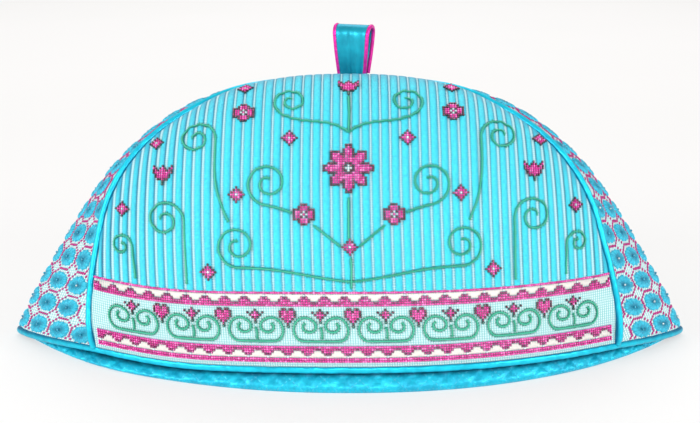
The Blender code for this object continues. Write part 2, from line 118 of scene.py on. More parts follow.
def lensDepth(x, halfWidth, halfDepth, power):
    # half the depth of the cosy's pointed oval outline
    inside = np.maximum(1 - np.abs(x / halfWidth) ** shellPlan["footRound"], 0.0)
    return halfDepth * inside ** power


def hemHeight(x, side):
    # the hem arches over its whole width, and dips a little at the front's left
    share = np.maximum(1 - (x / (shellPlan["footHalfWidth"] * mm)) ** 2, 0.0)
    height = shellPlan["hemLow"] + shellPlan["hemArch"] * share ** shellPlan["archPower"]
    if side < 0:
        dip = np.exp(-((x / mm - shellPlan["dipPlace"]) / shellPlan["dipWidth"]) ** 2)
        height = height - shellPlan["hemDip"] * dip
    return height * mm


def hemPoint(x, side):
    depth = lensDepth(x, shellPlan["footHalfWidth"] * mm, shellPlan["footHalfDepth"] * mm,
                      shellPlan["footPoint"]) - shellPlan["hemInset"] * mm
    return points(x, side * depth, hemHeight(x, side))


def seamPoint(along, side, hand):
    here = stationAt(along)
    if side > 0:
        return points(hand * here[..., 0], here[..., 6], here[..., 7])
    foot = hemPoint(hand * stationRows[0, 0] + skewAt(stationRows[0, 2]), side)
    fade = np.maximum(1 - np.asarray(along) * topPlace / shellPlan["hemPull"], 0.0) ** 2
    return points(hand * here[..., 0] + skewAt(here[..., 2]),
                  here[..., 1] + (foot[..., 1] - stationRows[0, 1]) * fade,
                  here[..., 2] + (foot[..., 2] - stationRows[0, 2]) * fade)


def gussetPoint(along, across):
    # the gusset from its left end, -1, to its right end, 1, and from its front seam, -1, to its back one
    along, across = np.broadcast_arrays(np.asarray(along, float), np.asarray(across, float))
    rise = 1 - np.abs(along)
    here = stationAt(rise)
    hand = np.where(along >= 0, 1.0, -1.0)
    reach = np.abs(across)
    fold = shellPlan["foldSharp"] + (shellPlan["foldRound"] - shellPlan["foldSharp"]) * rise
    blend = reach ** fold
    seam = np.where((across < 0)[..., None], seamPoint(rise, -1, hand), seamPoint(rise, 1, hand))
    ridge = points(hand * here[..., 3], here[..., 4], here[..., 5])
    share = points(blend, reach, blend)
    return ridge + (seam - ridge) * share


def halve(low, high, isLow):
    # the value between low and high where isLow stops to hold, after enough halvings to be exact
    for _ in range(40):
        middle = 0.5 * (low + high)
        lower = isLow(middle)
        low = np.where(lower, middle, low)
        high = np.where(lower, high, middle)
    return 0.5 * (low + high)


def panelLines(x, side, shares):
    # upright lines of a panel from the hem to the seam: one row of points for each x
    footX = x + skewAt(stationRows[0, 2]) if side < 0 else x
    hem = hemPoint(footX, side)
    along = halve(np.full(x.shape, 1.0 / topPlace), np.ones(x.shape),
                  lambda a: stationAt(a)[..., 0] > np.abs(x))
    seam = seamPoint(along, side, np.where(x >= 0, 1.0, -1.0))
    length = np.linalg.norm(seam - hem, axis=-1)
    crown = shellPlan["crownFront"] if side < 0 else shellPlan["crownBack"]
    fall = shellPlan["crownFall"] * (np.abs(x) / stationRows[0, 0]) ** shellPlan["crownPower"]
    rise = np.radians(crown - fall)
    up = points(0 * x, side * shellPlan["belly"] * mm, shellPlan["hemHandle"] * length)
    out = points(0 * x, side * np.cos(rise), np.sin(rise)) * (shellPlan["seamHandle"] * length)[:, None]
    corners = (corner[:, None, :] for corner in (hem, hem + up, seam + out, seam))
    line = bent(*corners, shares[None, :, None])
    line[..., 0] = x[:, None] + (skewAt(line[..., 2]) if side < 0 else 0.0)
    return line


class ClothFace:
    # a cloth's outer face, read at meshes u across and v up, whole or not
    def __init__(self, grid, firstU, stepU, firstV, stepV, flip, lift):
        self.firstU, self.stepU, self.firstV, self.stepV = firstU, stepU, firstV, stepV
        across = np.gradient(grid, axis=0)
        up = np.gradient(grid, axis=1)
        self.normals = unit(np.cross(across, up)) * flip
        self.grid = grid + self.normals * lift

    def read(self, table, u, v):
        # a place's value from its four neighbours; places past the table's edge take the edge's
        i = np.clip((np.asarray(u, float) - self.firstU) / self.stepU, 0, table.shape[0] - 1.001)
        j = np.clip((np.asarray(v, float) - self.firstV) / self.stepV, 0, table.shape[1] - 1.001)
        i, j = np.broadcast_arrays(i, j)
        i0, j0 = i.astype(int), j.astype(int)
        p, q = (i - i0)[..., None], (j - j0)[..., None]
        low = table[i0, j0] * (1 - p) + table[i0 + 1, j0] * p
        high = table[i0, j0 + 1] * (1 - p) + table[i0 + 1, j0 + 1] * p
        return low * (1 - q) + high * q

    def at(self, u, v, lift=0.0):
        normal = unit(self.read(self.normals, u, v))
        return self.read(self.grid, u, v) + normal * np.asarray(lift)[..., None]

    def facing(self, u, v):
        return unit(self.read(self.normals, u, v))

    def toward(self, u, v, turn):
        # direction on the cloth at an angle from the way that u grows
        right = unit(self.at(u + 0.4, v) - self.at(u - 0.4, v))
        up = unit(self.at(u, v + 0.4) - self.at(u, v - 0.4))
        turn = np.asarray(turn)[..., None]
        return unit(right * np.cos(turn) + up * np.sin(turn))


def resampled(lines, lengthsWanted, start):
    # each line's points at the wanted lengths from its start, and its whole length
    lengths = lengthsAlong(lines, 1)
    result = np.empty((len(lines), len(lengthsWanted), 3))
    for i in range(len(lines)):
        for k in range(3):
            result[i, :, k] = np.interp(lengthsWanted + start, lengths[i], lines[i, :, k])
    return result, lengths[:, -1] - start


# a panel's face in meshes across and up, and its widest place in millimetres
facePlan = {"half": 112.0, "low": -3.0, "high": 146.0, "step": 0.5, "widest": 141.9, "samples": 301}


def panelFace(side):
    step, widest = facePlan["step"], facePlan["widest"] * mm
    across = np.arange(-facePlan["half"], facePlan["half"] + 0.5 * step, step)
    u = np.clip(across * cell, -widest, widest) / cell
    lines = panelLines(u * cell, side, np.linspace(0, 1, facePlan["samples"]))
    v = np.arange(facePlan["low"], facePlan["high"], step)
    grid, reach = resampled(lines, v * cell, shellPlan["edgeRoom"] * mm)
    halfCloth = 0.5 * shellPlan["cloth"] * mm
    face = ClothFace(grid, -facePlan["half"], step, facePlan["low"], step, -side, halfCloth)
    reach = reach / cell
    face.reach = lambda value: np.interp(value, across, reach)
    return face


frontFace = panelFace(-1)
backFace = panelFace(1)
print("cosy: the shapes of the panels are set out")


# node trees: sockets with sums, and one way to put a node
def maths(operation, *terms):
    tree = next(term.socket.id_data for term in terms if isinstance(term, Wire))
    return out(put(tree, "ShaderNodeMath", {"operation": operation}, dict(enumerate(terms))))


class Wire:
    # one output socket; a sum written with it adds Math nodes to its tree
    def __init__(self, socket):
        self.socket = socket

    def __add__(self, other):
        return maths("ADD", self, other)

    def __sub__(self, other):
        return maths("SUBTRACT", self, other)

    def __rsub__(self, other):
        return maths("SUBTRACT", other, self)

    def __mul__(self, other):
        return maths("MULTIPLY", self, other)

    def __truediv__(self, other):
        return maths("DIVIDE", self, other)

    def __rtruediv__(self, other):
        return maths("DIVIDE", other, self)

    def __pow__(self, other):
        return maths("POWER", self, other)

    def __mod__(self, other):
        return maths("FLOORED_MODULO", self, other)

    def __neg__(self):
        return maths("MULTIPLY", self, -1.0)

    def __abs__(self):
        return maths("ABSOLUTE", self)

    __radd__ = __add__
    __rmul__ = __mul__

    def kept(self):
        # nothing below 0 or above 1
        return maths("MINIMUM", maths("MAXIMUM", self, 0.0), 1.0)

    def above(self, edge, softness):
        # 0 well below the edge and 1 well above it
        return ((self - edge) / softness + 0.5).kept()

    def wave(self, period):
        # 1 at whole periods and 0 half way between them
        return maths("COSINE", self * (2 * math.pi / period)) * 0.5 + 0.5


def out(node, name=0):
    if isinstance(name, str):
        return Wire(next(s for s in node.outputs if s.name == name and s.enabled))
    return Wire(node.outputs[name])


def plug(socket, value):
    if isinstance(value, Wire):
        socket.id_data.links.new(value.socket, socket)
    else:
        socket.default_value = value


def put(tree, kind, settings=None, sockets=None):
    # a new node, its settings first and then what its sockets get
    node = tree.nodes.new(kind)
    for name, value in (settings or {}).items():
        setattr(node, name, value)
    for name, value in (sockets or {}).items():
        plug(node.inputs[name], value)
    return node


def newTree(name, inputs):
    tree = bpy.data.node_groups.new(name, "GeometryNodeTree")
    tree.interface.new_socket("Geometry", in_out="INPUT", socket_type="NodeSocketGeometry")
    for label, kind, value in inputs:
        socket = tree.interface.new_socket(label, in_out="INPUT", socket_type="NodeSocket" + kind)
        if value is not None:
            socket.default_value = value
    tree.interface.new_socket("Geometry", in_out="OUTPUT", socket_type="NodeSocketGeometry")
    return tree


def named(tree, name):
    node = put(tree, "GeometryNodeInputNamedAttribute", {"data_type": "FLOAT_VECTOR"}, {"Name": name})
    return out(node, "Attribute")


def stored(tree, geometry, name, value):
    return out(put(tree, "GeometryNodeStoreNamedAttribute", {"data_type": "FLOAT", "domain": "POINT"},
                   {"Geometry": geometry, "Name": name, "Value": value}))


def vectorMaths(tree, operation, sockets):
    return put(tree, "ShaderNodeVectorMath", {"operation": operation}, sockets)


def uneven(tree, spread, seed):
    # another value for every place, between minus and plus the spread
    node = put(tree, "FunctionNodeRandomValue", {"data_type": "FLOAT"}, {2: -spread, 3: spread, "Seed": seed})
    return out(node, "Value")


def finishTree(tree, given, geometry, spent):
    # how both trees end: real meshes in their finish, without the values that only the tree needed
    real = out(put(tree, "GeometryNodeRealizeInstances", None, {"Geometry": geometry}))
    for name in spent:
        real = out(put(tree, "GeometryNodeRemoveAttribute", None, {"Geometry": real, "Name": name}))
    done = put(tree, "GeometryNodeSetMaterial", None, {"Geometry": real, "Material": out(given, "Finish")})
    put(tree, "NodeGroupOutput", None, {"Geometry": out(done)})
    return tree


def buildSewTree():
    # sews one small piece on every place, its up along facing and its length along aim
    tree = newTree("sewOnPoints", [
        ("Piece", "Object", None), ("Size", "Float", 1.0), ("Size Spread", "Float", 0.0),
        ("Turn Spread", "Float", 0.0), ("Seed", "Int", 1), ("Finish", "Material", None)])
    given = put(tree, "NodeGroupInput")
    seed = out(given, "Seed")
    piece = put(tree, "GeometryNodeObjectInfo", {"transform_space": "ORIGINAL"},
                {"Object": out(given, "Piece")})
    size = (uneven(tree, out(given, "Size Spread"), seed) + 1.0) * out(given, "Size")
    scale = vectorMaths(tree, "SCALE", {0: named(tree, "stretch"), "Scale": size})
    lay = put(tree, "FunctionNodeAxesToRotation", {"primary_axis": "Z", "secondary_axis": "X"},
              {0: named(tree, "facing"), 1: named(tree, "aim")})
    turn = uneven(tree, out(given, "Turn Spread"), seed + 7.0)
    about = put(tree, "ShaderNodeCombineXYZ", None, {"Z": turn})
    spin = put(tree, "FunctionNodeEulerToRotation", None, {0: out(about)})
    turned = put(tree, "FunctionNodeRotateRotation", {"rotation_space": "LOCAL"}, {0: out(lay), 1: out(spin)})
    sewnOn = put(tree, "GeometryNodeInstanceOnPoints", None, {
        "Points": out(given, "Geometry"), "Instance": out(piece, "Geometry"),
        "Rotation": out(turned), "Scale": out(scale)})
    return finishTree(tree, given, out(sewnOn), ("facing", "aim", "stretch"))


def buildCordTree():
    # a round cord along a line of edges, puckered by noise; crest is how far its skin faces outwards
    tree = newTree("layCord", [
        ("Radius", "Float", 0.001), ("Sides", "Int", 8), ("Pucker", "Float", 0.0),
        ("Pucker Size", "Float", 0.004), ("Ends", "Bool", True), ("Finish", "Material", None)])
    given = put(tree, "NodeGroupInput")
    line = out(put(tree, "GeometryNodeMeshToCurve", None, {0: out(given, "Geometry")}))
    line = stored(tree, line, "run", out(put(tree, "GeometryNodeSplineParameter"), "Length"))
    ring = put(tree, "GeometryNodeCurvePrimitiveCircle", {"mode": "RADIUS"},
               {"Resolution": out(given, "Sides"), "Radius": out(given, "Radius")})
    ringRound = stored(tree, out(ring, "Curve"), "round",
                       out(put(tree, "GeometryNodeSplineParameter"), "Factor"))
    tube = out(put(tree, "GeometryNodeCurveToMesh", None,
                   {"Curve": line, "Profile Curve": ringRound, "Fill Caps": out(given, "Ends")}))
    normal = out(put(tree, "GeometryNodeInputNormal"))
    crest = vectorMaths(tree, "DOT_PRODUCT", {0: named(tree, "facing"), 1: normal})
    tube = stored(tree, tube, "crest", out(crest, "Value"))
    noise = put(tree, "ShaderNodeTexNoise", {"noise_dimensions": "3D"},
                {"Vector": out(put(tree, "GeometryNodeInputPosition")),
                 "Scale": 1.0 / out(given, "Pucker Size"), "Detail": 1.0})
    push = (out(noise, 0) - 0.5) * out(given, "Pucker")
    offset = vectorMaths(tree, "SCALE", {0: normal, "Scale": push})
    moved = put(tree, "GeometryNodeSetPosition", None, {"Geometry": tube, "Offset": out(offset)})
    return finishTree(tree, given, out(moved), ("facing",))


sewTree = buildSewTree()
cordTree = buildCordTree()


def meshObject(name, places, faces=(), uv=None, smooth=True, edges=()):
    mesh = bpy.data.meshes.new(name)
    mesh.from_pydata(np.asarray(places).tolist(), edges, [list(map(int, face)) for face in faces])
    if uv is not None:
        layer = mesh.uv_layers.new(name="lay")
        corner = np.empty(len(mesh.loops), np.int32)
        mesh.loops.foreach_get("vertex_index", corner)
        layer.data.foreach_set("uv", np.asarray(uv, np.float32)[corner].ravel())
    if smooth:
        mesh.shade_smooth()
    item = bpy.data.objects.new(name, mesh)
    bpy.context.scene.collection.objects.link(item)
    return item


def gridFaces(rows, columns, wrap):
    index = np.arange(rows * columns).reshape(rows, columns)
    here = index if wrap else index[:, :-1]
    right = np.roll(index, -1, axis=1) if wrap else index[:, 1:]
    return index, here, right


def closedSheet(name, outer, inner, uv=None, wrap=False, top=None):
    # two matching grids of places become one closed thin sheet; top closes its last row in another way
    rows, columns = outer.shape[:2]
    index, here, right = gridFaces(rows, columns, wrap)
    shift = rows * columns
    front = np.stack([here[:-1], right[:-1], right[1:], here[1:]], -1).reshape(-1, 4)
    low = np.stack([right[0], here[0], here[0] + shift, right[0] + shift], -1)
    high = np.stack([here[-1], right[-1], right[-1] + shift, here[-1] + shift], -1)
    faces = [front, front[:, ::-1] + shift, low, high if top is None else top]
    if not wrap:
        start, end = index[:, 0], index[:, -1]
        faces.append(np.stack([start[:-1], start[1:], start[1:] + shift, start[:-1] + shift], -1))
        faces.append(np.stack([end[1:], end[:-1], end[:-1] + shift, end[1:] + shift], -1))
    places = np.concatenate([outer.reshape(-1, 3), inner.reshape(-1, 3)])
    both = None if uv is None else np.concatenate([uv.reshape(-1, 2)] * 2)
    return meshObject(name, places, np.concatenate(faces), both)


def loftedFaces(count, sides):
    index, here, right = gridFaces(count, sides, True)
    faces = np.stack([here[:-1], right[:-1], right[1:], here[1:]], -1).reshape(-1, 4).tolist()
    return faces + [index[0, ::-1].tolist(), index[-1].tolist()]


def loftedMap(count, sides):
    # run and round along a lofted piece, 0 to 1
    run = np.repeat(np.linspace(0, 1, count), sides)
    turn = np.tile(np.abs(np.linspace(-1, 1, sides, endpoint=False)), count)
    return np.stack([run, turn], -1)


def loftedPiece(name, rings, crisp=False):
    # matching closed rings from one end to the other; crisp keeps sharp edges sharp
    rings = np.asarray(rings, float)
    count, sides = rings.shape[:2]
    item = meshObject(name, rings.reshape(-1, 3), loftedFaces(count, sides), loftedMap(count, sides))
    if crisp:
        item.data.set_sharp_from_angle(angle=math.radians(50))
    return item


def outward(mesh):
    # turns a closed mesh whose faces point inwards
    mesh.calc_loop_triangles()
    corner = np.empty(len(mesh.loop_triangles) * 3, np.int32)
    mesh.loop_triangles.foreach_get("vertices", corner)
    place = np.empty(len(mesh.vertices) * 3, np.float32)
    mesh.vertices.foreach_get("co", place)
    a, b, c = place.reshape(-1, 3)[corner.reshape(-1, 3)].transpose(1, 0, 2)
    if np.einsum("ij,ij->i", a, np.cross(b, c)).sum() < 0:
        mesh.flip_normals()


def grown(name, source, tree, values):
    # runs a node tree on a mesh and keeps its result as a plain mesh
    modifier = source.modifiers.new("grow", "NODES")
    modifier.node_group = tree
    for socket in tree.interface.items_tree:
        if socket.in_out == "INPUT" and socket.name in values:
            modifier[socket.identifier] = values[socket.name]
    source.update_tag()
    depsgraph = bpy.context.evaluated_depsgraph_get()
    mesh = bpy.data.meshes.new_from_object(source.evaluated_get(depsgraph),
                                           preserve_all_data_layers=True, depsgraph=depsgraph)
    source.modifiers.clear()
    bpy.data.objects.remove(source, do_unlink=True)
    mesh.name = name
    outward(mesh)
    mesh.shade_smooth()
    item = bpy.data.objects.new(name, mesh)
    bpy.context.scene.collection.objects.link(item)
    return item


def addValues(mesh, **layers):
    # one number or one direction for every place of the mesh
    for name, values in layers.items():
        values = np.asarray(values, np.float32)
        kind, field = ("FLOAT", "value") if values.ndim == 1 else ("FLOAT_VECTOR", "vector")
        mesh.attributes.new(name, kind, "POINT").data.foreach_set(field, values.ravel())


def sewn(name, piece, places, facing, aim, finish, size, stretch, tint, sizeSpread, turnSpread, seed):
    # the same small piece sewn on at every place
    source = meshObject(name + "Places", places)
    stretch = np.broadcast_to(stretch, (len(places), 3))
    addValues(source.data, facing=facing, aim=aim, stretch=stretch, tint=tint)
    return grown(name, source, sewTree, {
        "Piece": piece, "Size": float(size), "Size Spread": float(sizeSpread),
        "Turn Spread": float(turnSpread), "Seed": seed, "Finish": finish})


def laidCord(name, lines, facings, radius, sides, finish, closed=False, pucker=0.0, puckerSize=0.004):
    # one mesh of round cords; lines are lists of places, each with its facing
    edges = []
    start = 0
    for line in lines:
        edges += [(start + i, start + i + 1) for i in range(len(line) - 1)]
        if closed:
            edges.append((start + len(line) - 1, start))
        start += len(line)
    source = meshObject(name + "Line", np.concatenate(lines), edges=edges)
    addValues(source.data, facing=np.concatenate(facings))
    return grown(name, source, cordTree, {
        "Radius": float(radius), "Sides": sides, "Pucker": float(pucker),
        "Pucker Size": float(puckerSize), "Ends": not closed, "Finish": finish})


def keep(item, slot, replaces=(), finish=None):
    # a finished piece: its material, and its slot name and the CAD nodes it stands for, kept with it in the
    # list of pieces
    if finish is not None:
        item.data.materials.clear()
        item.data.materials.append(finish)
    cosyPieces.append((item, slot, tuple(replaces)))
    return item


class Finish:
    # one material: its shader and the nodes that feed it
    def __init__(self, name, values):
        self.material = bpy.data.materials.new(name)
        self.material.use_nodes = True
        self.tree = self.material.node_tree
        self.shader = self.tree.nodes["Principled BSDF"]
        for label, value in values.items():
            self.shader.inputs[label].default_value = value

    def put(self, kind, settings=None, sockets=None):
        return put(self.tree, kind, settings, sockets)

    def feed(self, label, value):
        plug(self.shader.inputs[label], value)

    def lay(self):
        # the two coordinates of the piece's own map
        place = out(self.put("ShaderNodeUVMap", {"uv_map": "lay"}))
        apart = self.put("ShaderNodeSeparateXYZ", None, {0: place})
        return out(apart, "X"), out(apart, "Y")

    def value(self, name):
        return out(self.put("ShaderNodeAttribute", {"attribute_name": name}), "Fac")

    def noise(self, grain, detail=2.0):
        # cloudy values around a half; grain is the size of one cloud in metres
        place = out(self.put("ShaderNodeTexCoord"), "Object")
        return out(self.put("ShaderNodeTexNoise", {"noise_dimensions": "3D"},
                            {"Vector": place, "Scale": 1.0 / grain, "Detail": detail}))

    def blend(self, share, low, high):
        # the colour low where share is 0 and high where it is 1
        node = self.put("ShaderNodeMix", {"data_type": "RGBA"}, {0: share, 6: rgba(low), 7: rgba(high)})
        return out(node, 2)

    def raised(self, height, depth):
        node = self.put("ShaderNodeBump", None, {"Height": height, "Distance": depth, "Strength": 1.0})
        self.feed("Normal", out(node, "Normal"))

    def satinRelief(self, cloud):
        # soft dents with the fine grain of satin over them
        self.raised(cloud * 0.8 + self.noise(satinGrain, 1.0) * 0.2, 0.00035)


def rgba(colour):
    return colour if isinstance(colour, Wire) else (*colour, 1.0)


satinGrain, flossGrain = 0.45 * mm, 0.9 * mm
colours = {                      # base colours, linear
    "turquoise": (0.006, 0.330, 0.540), "turquoiseDeep": (0.002, 0.170, 0.320),
    "turquoiseLight": (0.056, 0.780, 0.900), "ladderWhite": (0.560, 0.920, 0.940),
    "wheel": (0.034, 0.640, 0.860), "wheelDeep": (0.004, 0.240, 0.430),
    "mint": (0.740, 0.900, 0.900), "mintLine": (0.090, 0.560, 0.580), "canvasWhite": (0.800, 0.880, 0.870),
    "white": (0.860, 0.850, 0.800), "whiteDark": (0.700, 0.680, 0.620),
    "pink": (0.680, 0.020, 0.300), "pinkDark": (0.300, 0.006, 0.090), "hotPink": (0.920, 0.035, 0.450),
    # crease is the colour of the painted shade under the hem's piping
    "satin": (0.004, 0.300, 0.500), "liningLight": (0.012, 0.700, 0.900), "crease": (0.001, 0.045, 0.110),
    "teal": (0.004, 0.250, 0.370), "tealLight": (0.010, 0.420, 0.560),
    "leaf": (0.130, 0.700, 0.430), "leafDark": (0.002, 0.320, 0.200), "leafShade": (0.003, 0.200, 0.130),
}


def satinFinish(name, dark, light, grain, roughness):
    finish = Finish(name, {"Roughness": roughness, "Metallic": 0.55, "Specular IOR Level": 0.4})
    cloud = finish.noise(grain)
    finish.feed("Base Color", finish.blend(cloud.above(0.5, 0.5), colours[dark], colours[light]))
    finish.satinRelief(cloud)
    return finish.material


def flossFinish(name, dark, light, endShade=0.0):
    # stitches of three-ply thread; the plies run along each stitch, and painted shade can darken each
    # stitch's ends, its right part and whole stitches by the value sewn with them
    finish = Finish(name, {"Roughness": 0.5, "Sheen Weight": 0.15, "Sheen Roughness": 0.4})
    run, across = finish.lay()
    ply = across.wave(1.0 / 3.0)
    lit = ply * 0.2 + finish.noise(flossGrain, 1.0)
    if endShade:
        # painted shade: darker at both ends of the stitch and towards its right end, then darker as the sewn
        # value falls
        shade = run.wave(1.0) ** 8.0 * endShade + run.above(0.75, 0.45) * 0.6
        lit = (lit + 0.15 - shade) * (finish.value("tint") * 0.85 + 0.15)
    finish.feed("Base Color", finish.blend(lit.kept(), colours[dark], colours[light]))
    finish.raised(ply, 0.00006)
    return finish.material


def pipingFinish():
    # bias-cut satin over a cord, with a painted highlight along its outermost line and painted shade towards
    # its edges
    finish = Finish("turquoise satin piping", {"Roughness": 0.32, "Metallic": 0.5, "Specular IOR Level": 0.3})
    cloud = finish.noise(0.005)
    lit = finish.value("crest").above(0.72, 0.6) * 0.85 + cloud.above(0.5, 0.5) * 0.35 - 0.15
    finish.feed("Base Color", finish.blend(lit.kept(), colours["turquoiseDeep"], colours["liningLight"]))
    finish.satinRelief(cloud)
    return finish.material


def wovenFinish(name, roughness):
    # needlework canvas: its map counts meshes, whose threads cross at the whole numbers
    finish = Finish(name, {"Roughness": roughness, "Sheen Weight": 0.25, "Sheen Roughness": 0.4})
    return finish, *finish.lay()


def ribbedFinish(name, bordered, low, high):
    # ribs four meshes apart with ladders of white ticks between them, and mint canvas for the border
    finish, u, v = wovenFinish(name, 0.62)
    lineU, lineV = (u + 0.5).wave(1.0) ** 3.0, v.wave(1.0) ** 3.0
    offLadder = abs((u + 1.0) % 4.0 - 2.0)
    tick = v.wave(1.0) ** 4.0
    ladder = 1.0 - (offLadder - tick * 0.62).above(0.42, 0.14)
    rib = finish.blend(finish.noise(0.0012).above(0.5, 0.6), colours[low], colours[high])
    white = finish.blend((1.0 - tick) * 0.22, colours["ladderWhite"], colours["turquoise"])
    cloth = finish.blend(ladder, rib, white)
    if bordered:
        mint = finish.blend(maths("MAXIMUM", lineU, lineV * 0.7), colours["mint"], colours["mintLine"])
        cloth = finish.blend(v.above(frontPlan["borderMeshes"], 0.1), mint, cloth)
    finish.feed("Base Color", cloth)
    finish.raised(1.0 - maths("MAXIMUM", lineU, lineV), 0.00022)
    return finish.material


# meshes up the border, the foot and the two sides, and millimetres of cloth
frontPlan = {"borderMeshes": 30, "foot": -1.55, "edge": 111, "tuck": 1.5, "thick": 1.1,
             "borderRows": 12, "fieldRows": 66, "borderShare": 0.6}


def panelSheet(name, face, plan, ribHeight, columns):
    # rows run evenly up the border and up the field of every column
    reach = face.reach(columns)
    border = np.minimum(plan["borderMeshes"], plan["borderShare"] * reach)
    low = np.linspace(0, 1, plan["borderRows"], endpoint=False)[:, None]
    high = np.linspace(0, 1, plan["fieldRows"])[:, None]
    v = np.concatenate([plan["foot"] + (border - plan["foot"]) * low,
                        border + (reach + plan["tuck"] - border) * high])
    u = np.broadcast_to(columns, v.shape)
    outer = face.at(u, v, ribHeight(u, v, reach) * mm)
    inner = face.at(u, v, -plan["thick"] * mm)
    return closedSheet(name, outer, inner, np.stack([u, v], -1))


frontColumns = np.arange(-frontPlan["edge"], frontPlan["edge"] + 1.0)
frontCloth = panelSheet("frontCloth", frontFace, frontPlan, lambda u, v, reach: 0.0 * u, frontColumns)
keep(frontCloth, "needlework", ["front_panel"],
     ribbedFinish("needlework canvas", True, "turquoiseDeep", "turquoise"))

backPlan = dict(frontPlan, borderMeshes=2, borderRows=2, fieldRows=60, ribHeight=0.85, fadeStart=-0.5,
                fadeLow=3.0, fadeHigh=4.0)


def ribProfile(u):
    # round ribs three meshes wide with a flat mesh between them
    away = np.abs((u + 1.0) % 4.0 - 2.0)
    return np.clip(1 - ((2.0 - away) / 1.5) ** 2, 0, 1)


def backRibs(u, v, reach):
    # the ribs sink into the pipings at their ends
    fade = np.clip((v - backPlan["fadeStart"]) / backPlan["fadeLow"], 0, 1)
    fade = fade * np.clip((reach - v) / backPlan["fadeHigh"], 0, 1)
    return backPlan["ribHeight"] * ribProfile(u) ** 0.5 * fade


ribSteps = np.array([0.85, 1.5, 2.3, 3.0, 3.7, 4.15])      # columns across one rib, in meshes
backColumns = (np.arange(-29, 28)[:, None] * 4.0 + 1.0 + ribSteps).ravel()
backColumns = backColumns[np.abs(backColumns) < backPlan["edge"]][::-1]
backCloth = panelSheet("backCloth", backFace, backPlan, backRibs, backColumns)
keep(backCloth, "ribbed_cloth", ["back_panel"],
     ribbedFinish("ribbed cloth", False, "turquoise", "turquoiseLight"))
print("cosy: front and back panels are laid")


gussetPlan = {
    "pitch": 14.75,              # from one wheel to the next along the gusset
    "spacing": ((0, 19.0), (45, 19.0), (60, 16.0), (78, 14.2), (95, 11.5), (120, 10.0), (300, 10.0)),
    "end": 0.9965, "thick": 1.1, "rows": 150, "columns": 29,
    "wheelsOut": 4.0, "wheelsUp": 17.6, "step": 0.1, "start": 0.002, "samples": (301, 161),
}
wheelMarks, wheelWidths = zip(*gussetPlan["spacing"])
wheelRows = np.arange(0, gussetPlan["wheelsUp"], gussetPlan["step"])


class GussetHalf(ClothFace):
    # places on one half of the gusset by wheel columns across and wheel rows up from its hem
    def __init__(self, hand):
        samplesUp, samplesAcross = gussetPlan["samples"]
        self.rise = np.linspace(gussetPlan["start"], 1, samplesUp)
        net = gussetPoint(hand * (1 - self.rise)[:, None], np.linspace(-1, 1, samplesAcross)[None, :])
        middle = samplesAcross // 2
        away = lengthsAlong(net, 1)
        away -= away[:, middle:middle + 1]
        self.spacing = np.interp(lengthsAlong(net[:, middle]) / mm, wheelMarks, wheelWidths) * mm
        wheelsOut, step = gussetPlan["wheelsOut"], gussetPlan["step"]
        a = np.linspace(-wheelsOut, wheelsOut, round(2 * wheelsOut / step) + 1)
        lines = np.empty((len(a), samplesUp, 4))
        for j in range(samplesUp):
            wanted = a * self.spacing[j]
            for k in range(3):
                lines[:, j, k] = np.interp(wanted, away[j], net[j, :, k])
            lines[:, j, 3] = np.where(a < 0, -away[j, 0], away[j, -1]) - np.abs(wanted)
        grid = np.empty((len(a), len(wheelRows), 4))
        for i in range(len(a)):
            lengths = lengthsAlong(lines[i, :, :3]) / (gussetPlan["pitch"] * mm)
            for k in range(4):
                grid[i, :, k] = np.interp(wheelRows, lengths, lines[i, :, k])
        super().__init__(grid[..., :3], -wheelsOut, step, 0.0, step, hand, 0.5 * shellPlan["cloth"] * mm)
        self.room = grid[..., 3:]

    def roomAt(self, a, b):
        # from a place to the nearer seam
        return self.read(self.room, a, b)[..., 0]

    def spreadAt(self, b):
        # how much wider than tall the canvas is stretched in a row
        rowWidths = np.interp(wheelRows * gussetPlan["pitch"], wheelMarks, wheelWidths) * mm
        return np.interp(b, wheelRows, rowWidths) / (gussetPlan["pitch"] * mm)


gussetHalves = {-1: GussetHalf(-1), 1: GussetHalf(1)}


def gussetSheet():
    along = np.linspace(-gussetPlan["end"], gussetPlan["end"], gussetPlan["rows"])
    across = np.sin(np.linspace(-0.5, 0.5, gussetPlan["columns"]) * math.pi)
    middle = gussetPoint(along[:, None], across[None, :])
    normal = unit(np.cross(np.gradient(middle, axis=0), np.gradient(middle, axis=1)))
    lift = 0.5 * shellPlan["cloth"] * mm
    away = lengthsAlong(middle, 1)
    away -= away[:, [gussetPlan["columns"] // 2]]
    spacing = np.interp(1 - np.abs(along), gussetHalves[1].rise, gussetHalves[1].spacing)
    lay = np.stack([10 * away / spacing[:, None], 10 * lengthsAlong(middle) / (gussetPlan["pitch"] * mm)], -1)
    outer = middle + normal * lift
    inner = middle + normal * (lift - gussetPlan["thick"] * mm)
    return closedSheet("gussetCloth", outer, inner, lay)


def gussetFinish():
    finish, u, v = wovenFinish("mint gusset canvas", 0.7)
    lineU, lineV = (u + 0.5).wave(1.0) ** 3.0, (v + 0.5).wave(1.0) ** 3.0
    grid = maths("MAXIMUM", lineU * 0.9, lineV * 0.6)
    finish.feed("Base Color", finish.blend(grid, colours["canvasWhite"], colours["mintLine"]))
    finish.raised(1.0 - maths("MAXIMUM", lineU, lineV), 0.00022)
    return finish.material


gussetCloth = gussetSheet()
outward(gussetCloth.data)
keep(gussetCloth, "mint_canvas", ["gusset"], gussetFinish())
print("cosy: the gusset is laid")


# corded satin, in millimetres; the seams' pipings are proud of the cloths, more so near the hem
pipingPlan = {"radius": 2.15, "sides": 20, "step": 0.9, "pucker": 0.35, "puckerSize": 5.0, "endRoom": 0.6,
              "proud": 1.5, "footProud": 1.6, "footHeight": 17.0, "footWidth": 9.0, "tuckHeight": 7.0,
              "seamSamples": 401, "hemSamples": 300, "cornerSamples": 40,
              "seamOut": (0.2, 0.0, 0.2), "seamForward": 30.0,
              "crestOut": (0.35, 1.0, 1.0), "crestForward": 60.0, "crestDown": -20.0}
satinPiping = pipingFinish()


